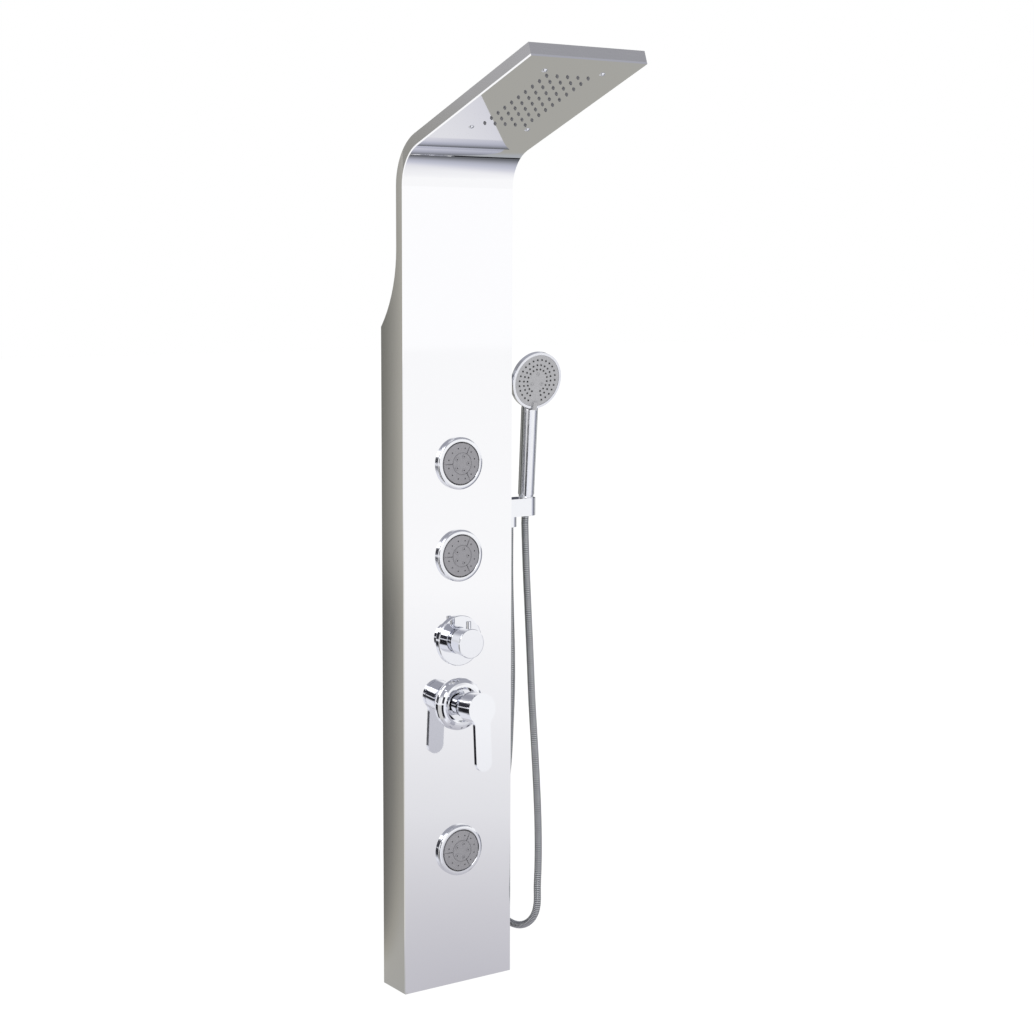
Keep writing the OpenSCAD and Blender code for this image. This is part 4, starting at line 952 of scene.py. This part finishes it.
class SHOWER_OT_fittings(bpy.types.Operator):
    """Finish the chrome bezels, knobs, lever, holder and handset"""

    bl_idname = "shower.fittings"
    bl_label = "Chrome fittings"

    def execute(self, context):
        metal = context.scene.shower_metal
        dress(
            chrome(metal),
            "rain_head_screws",
            "diverter_escutcheon",
            "diverter_knob",
            "diverter_peg",
            "mixer_collar",
            "mixer_escutcheon",
            "mixer_lever",
            "holder_arm",
            "hose_outlet_nut",
            "hose_cone_nut",
        )
        dress(
            plated_plastic(metal),
            "upper_jet_bezel",
            "middle_jet_bezel",
            "lower_jet_bezel",
            "handset_body",
            "handset_rim",
        )
        return {"FINISHED"}


class SHOWER_OT_plumbing(bpy.types.Operator):
    """Finish the castings, nuts, pipes and cups inside the column"""

    bl_idname = "shower.plumbing"
    bl_label = "Plumbing"

    def execute(self, context):
        plastic = context.scene.shower_plastic
        dress(
            cast_brass(context.scene.shower_metal),
            "rain_feed_coupling",
            "pipe_nuts",
            "diverter_body",
            "diverter_locknut",
            "diverter_spindle",
            "mixer_body",
            "mixer_outlet_pipe",
            "holder_locknut",
        )
        dress(
            moulded("white_plastic", plastic.white, 0.35, 0.015 * MM),
            "rain_chamber",
            "rain_feed_lower",
            "rain_feed_upper",
            "upper_jet_body",
            "middle_jet_body",
            "lower_jet_body",
            "jet_manifold",
            "handset_feed",
            "mixer_carrier",
        )
        dress(moulded("ivory_plastic", plastic.ivory, 0.4, 0.01 * MM), "mixer_cartridge")
        dress(
            moulded("nut_plastic", plastic.black, 0.45, 0.02 * MM),
            "upper_jet_nut",
            "middle_jet_nut",
            "lower_jet_nut",
        )
        return {"FINISHED"}


class SHOWER_OT_spray_faces(bpy.types.Operator):
    """Finish the jet faces, the handset's face and all rubber"""

    bl_idname = "shower.spray_faces"
    bl_label = "Spray faces"

    def execute(self, context):
        plastic = context.scene.shower_plastic
        dress(
            moulded("jet_plastic", plastic.jet, 0.32, 0.012 * MM),
            "upper_jet_face",
            "middle_jet_face",
            "lower_jet_face",
        )
        dress(moulded("spray_plastic", plastic.spray, 0.34, 0.012 * MM), "spray_face")
        dress(silicone("rain_rubber", plastic.rain), "nozzle_mat")
        dress(
            silicone("dark_rubber", plastic.rubber),
            "spray_nozzles",
            "jet_gaskets",
            "outlet_washer",
        )
        return {"FINISHED"}


class SHOWER_PT_parts(bpy.types.Panel):
    """Lists the pieces and their settings"""

    bl_idname = "SHOWER_PT_parts"
    bl_label = "Shower panel column"
    bl_space_type = "VIEW_3D"
    bl_region_type = "UI"
    bl_category = "Shower"

    def draw(self, context):
        column = self.layout.column()
        for operator in OPERATORS:
            column.operator(operator.bl_idname)
        for name, group in SETTINGS.items():
            box = self.layout.box()
            box.label(text=group.__doc__)
            for key in group.__annotations__:
                box.prop(getattr(context.scene, name), key)


SETTINGS = {
    "shower_metal": MetalSettings,
    "shower_plastic": PlasticSettings,
    "shower_hose": HoseSettings,
    "shower_studio": StudioSettings,
}
OPERATORS = (
    SHOWER_OT_studio,
    SHOWER_OT_hose,
    SHOWER_OT_sheet_metal,
    SHOWER_OT_wall_fixings,
    SHOWER_OT_fittings,
    SHOWER_OT_plumbing,
    SHOWER_OT_spray_faces,
)


def register():
    for name, group in SETTINGS.items():
        bpy.utils.register_class(group)
        setattr(bpy.types.Scene, name, bpy.props.PointerProperty(type=group))
    for shown in (*OPERATORS, SHOWER_PT_parts):
        bpy.utils.register_class(shown)


def unregister():
    for shown in (SHOWER_PT_parts, *reversed(OPERATORS)):
        bpy.utils.unregister_class(shown)
    for name, group in reversed(SETTINGS.items()):
        delattr(bpy.types.Scene, name)
        bpy.utils.unregister_class(group)


def main():
    register()
    bpy.ops.shower.studio()
    bpy.ops.shower.hose()
    bpy.ops.shower.sheet_metal()
    bpy.ops.shower.wall_fixings()
    bpy.ops.shower.fittings()
    bpy.ops.shower.plumbing()
    bpy.ops.shower.spray_faces()


if __name__ == "__main__":
    main()
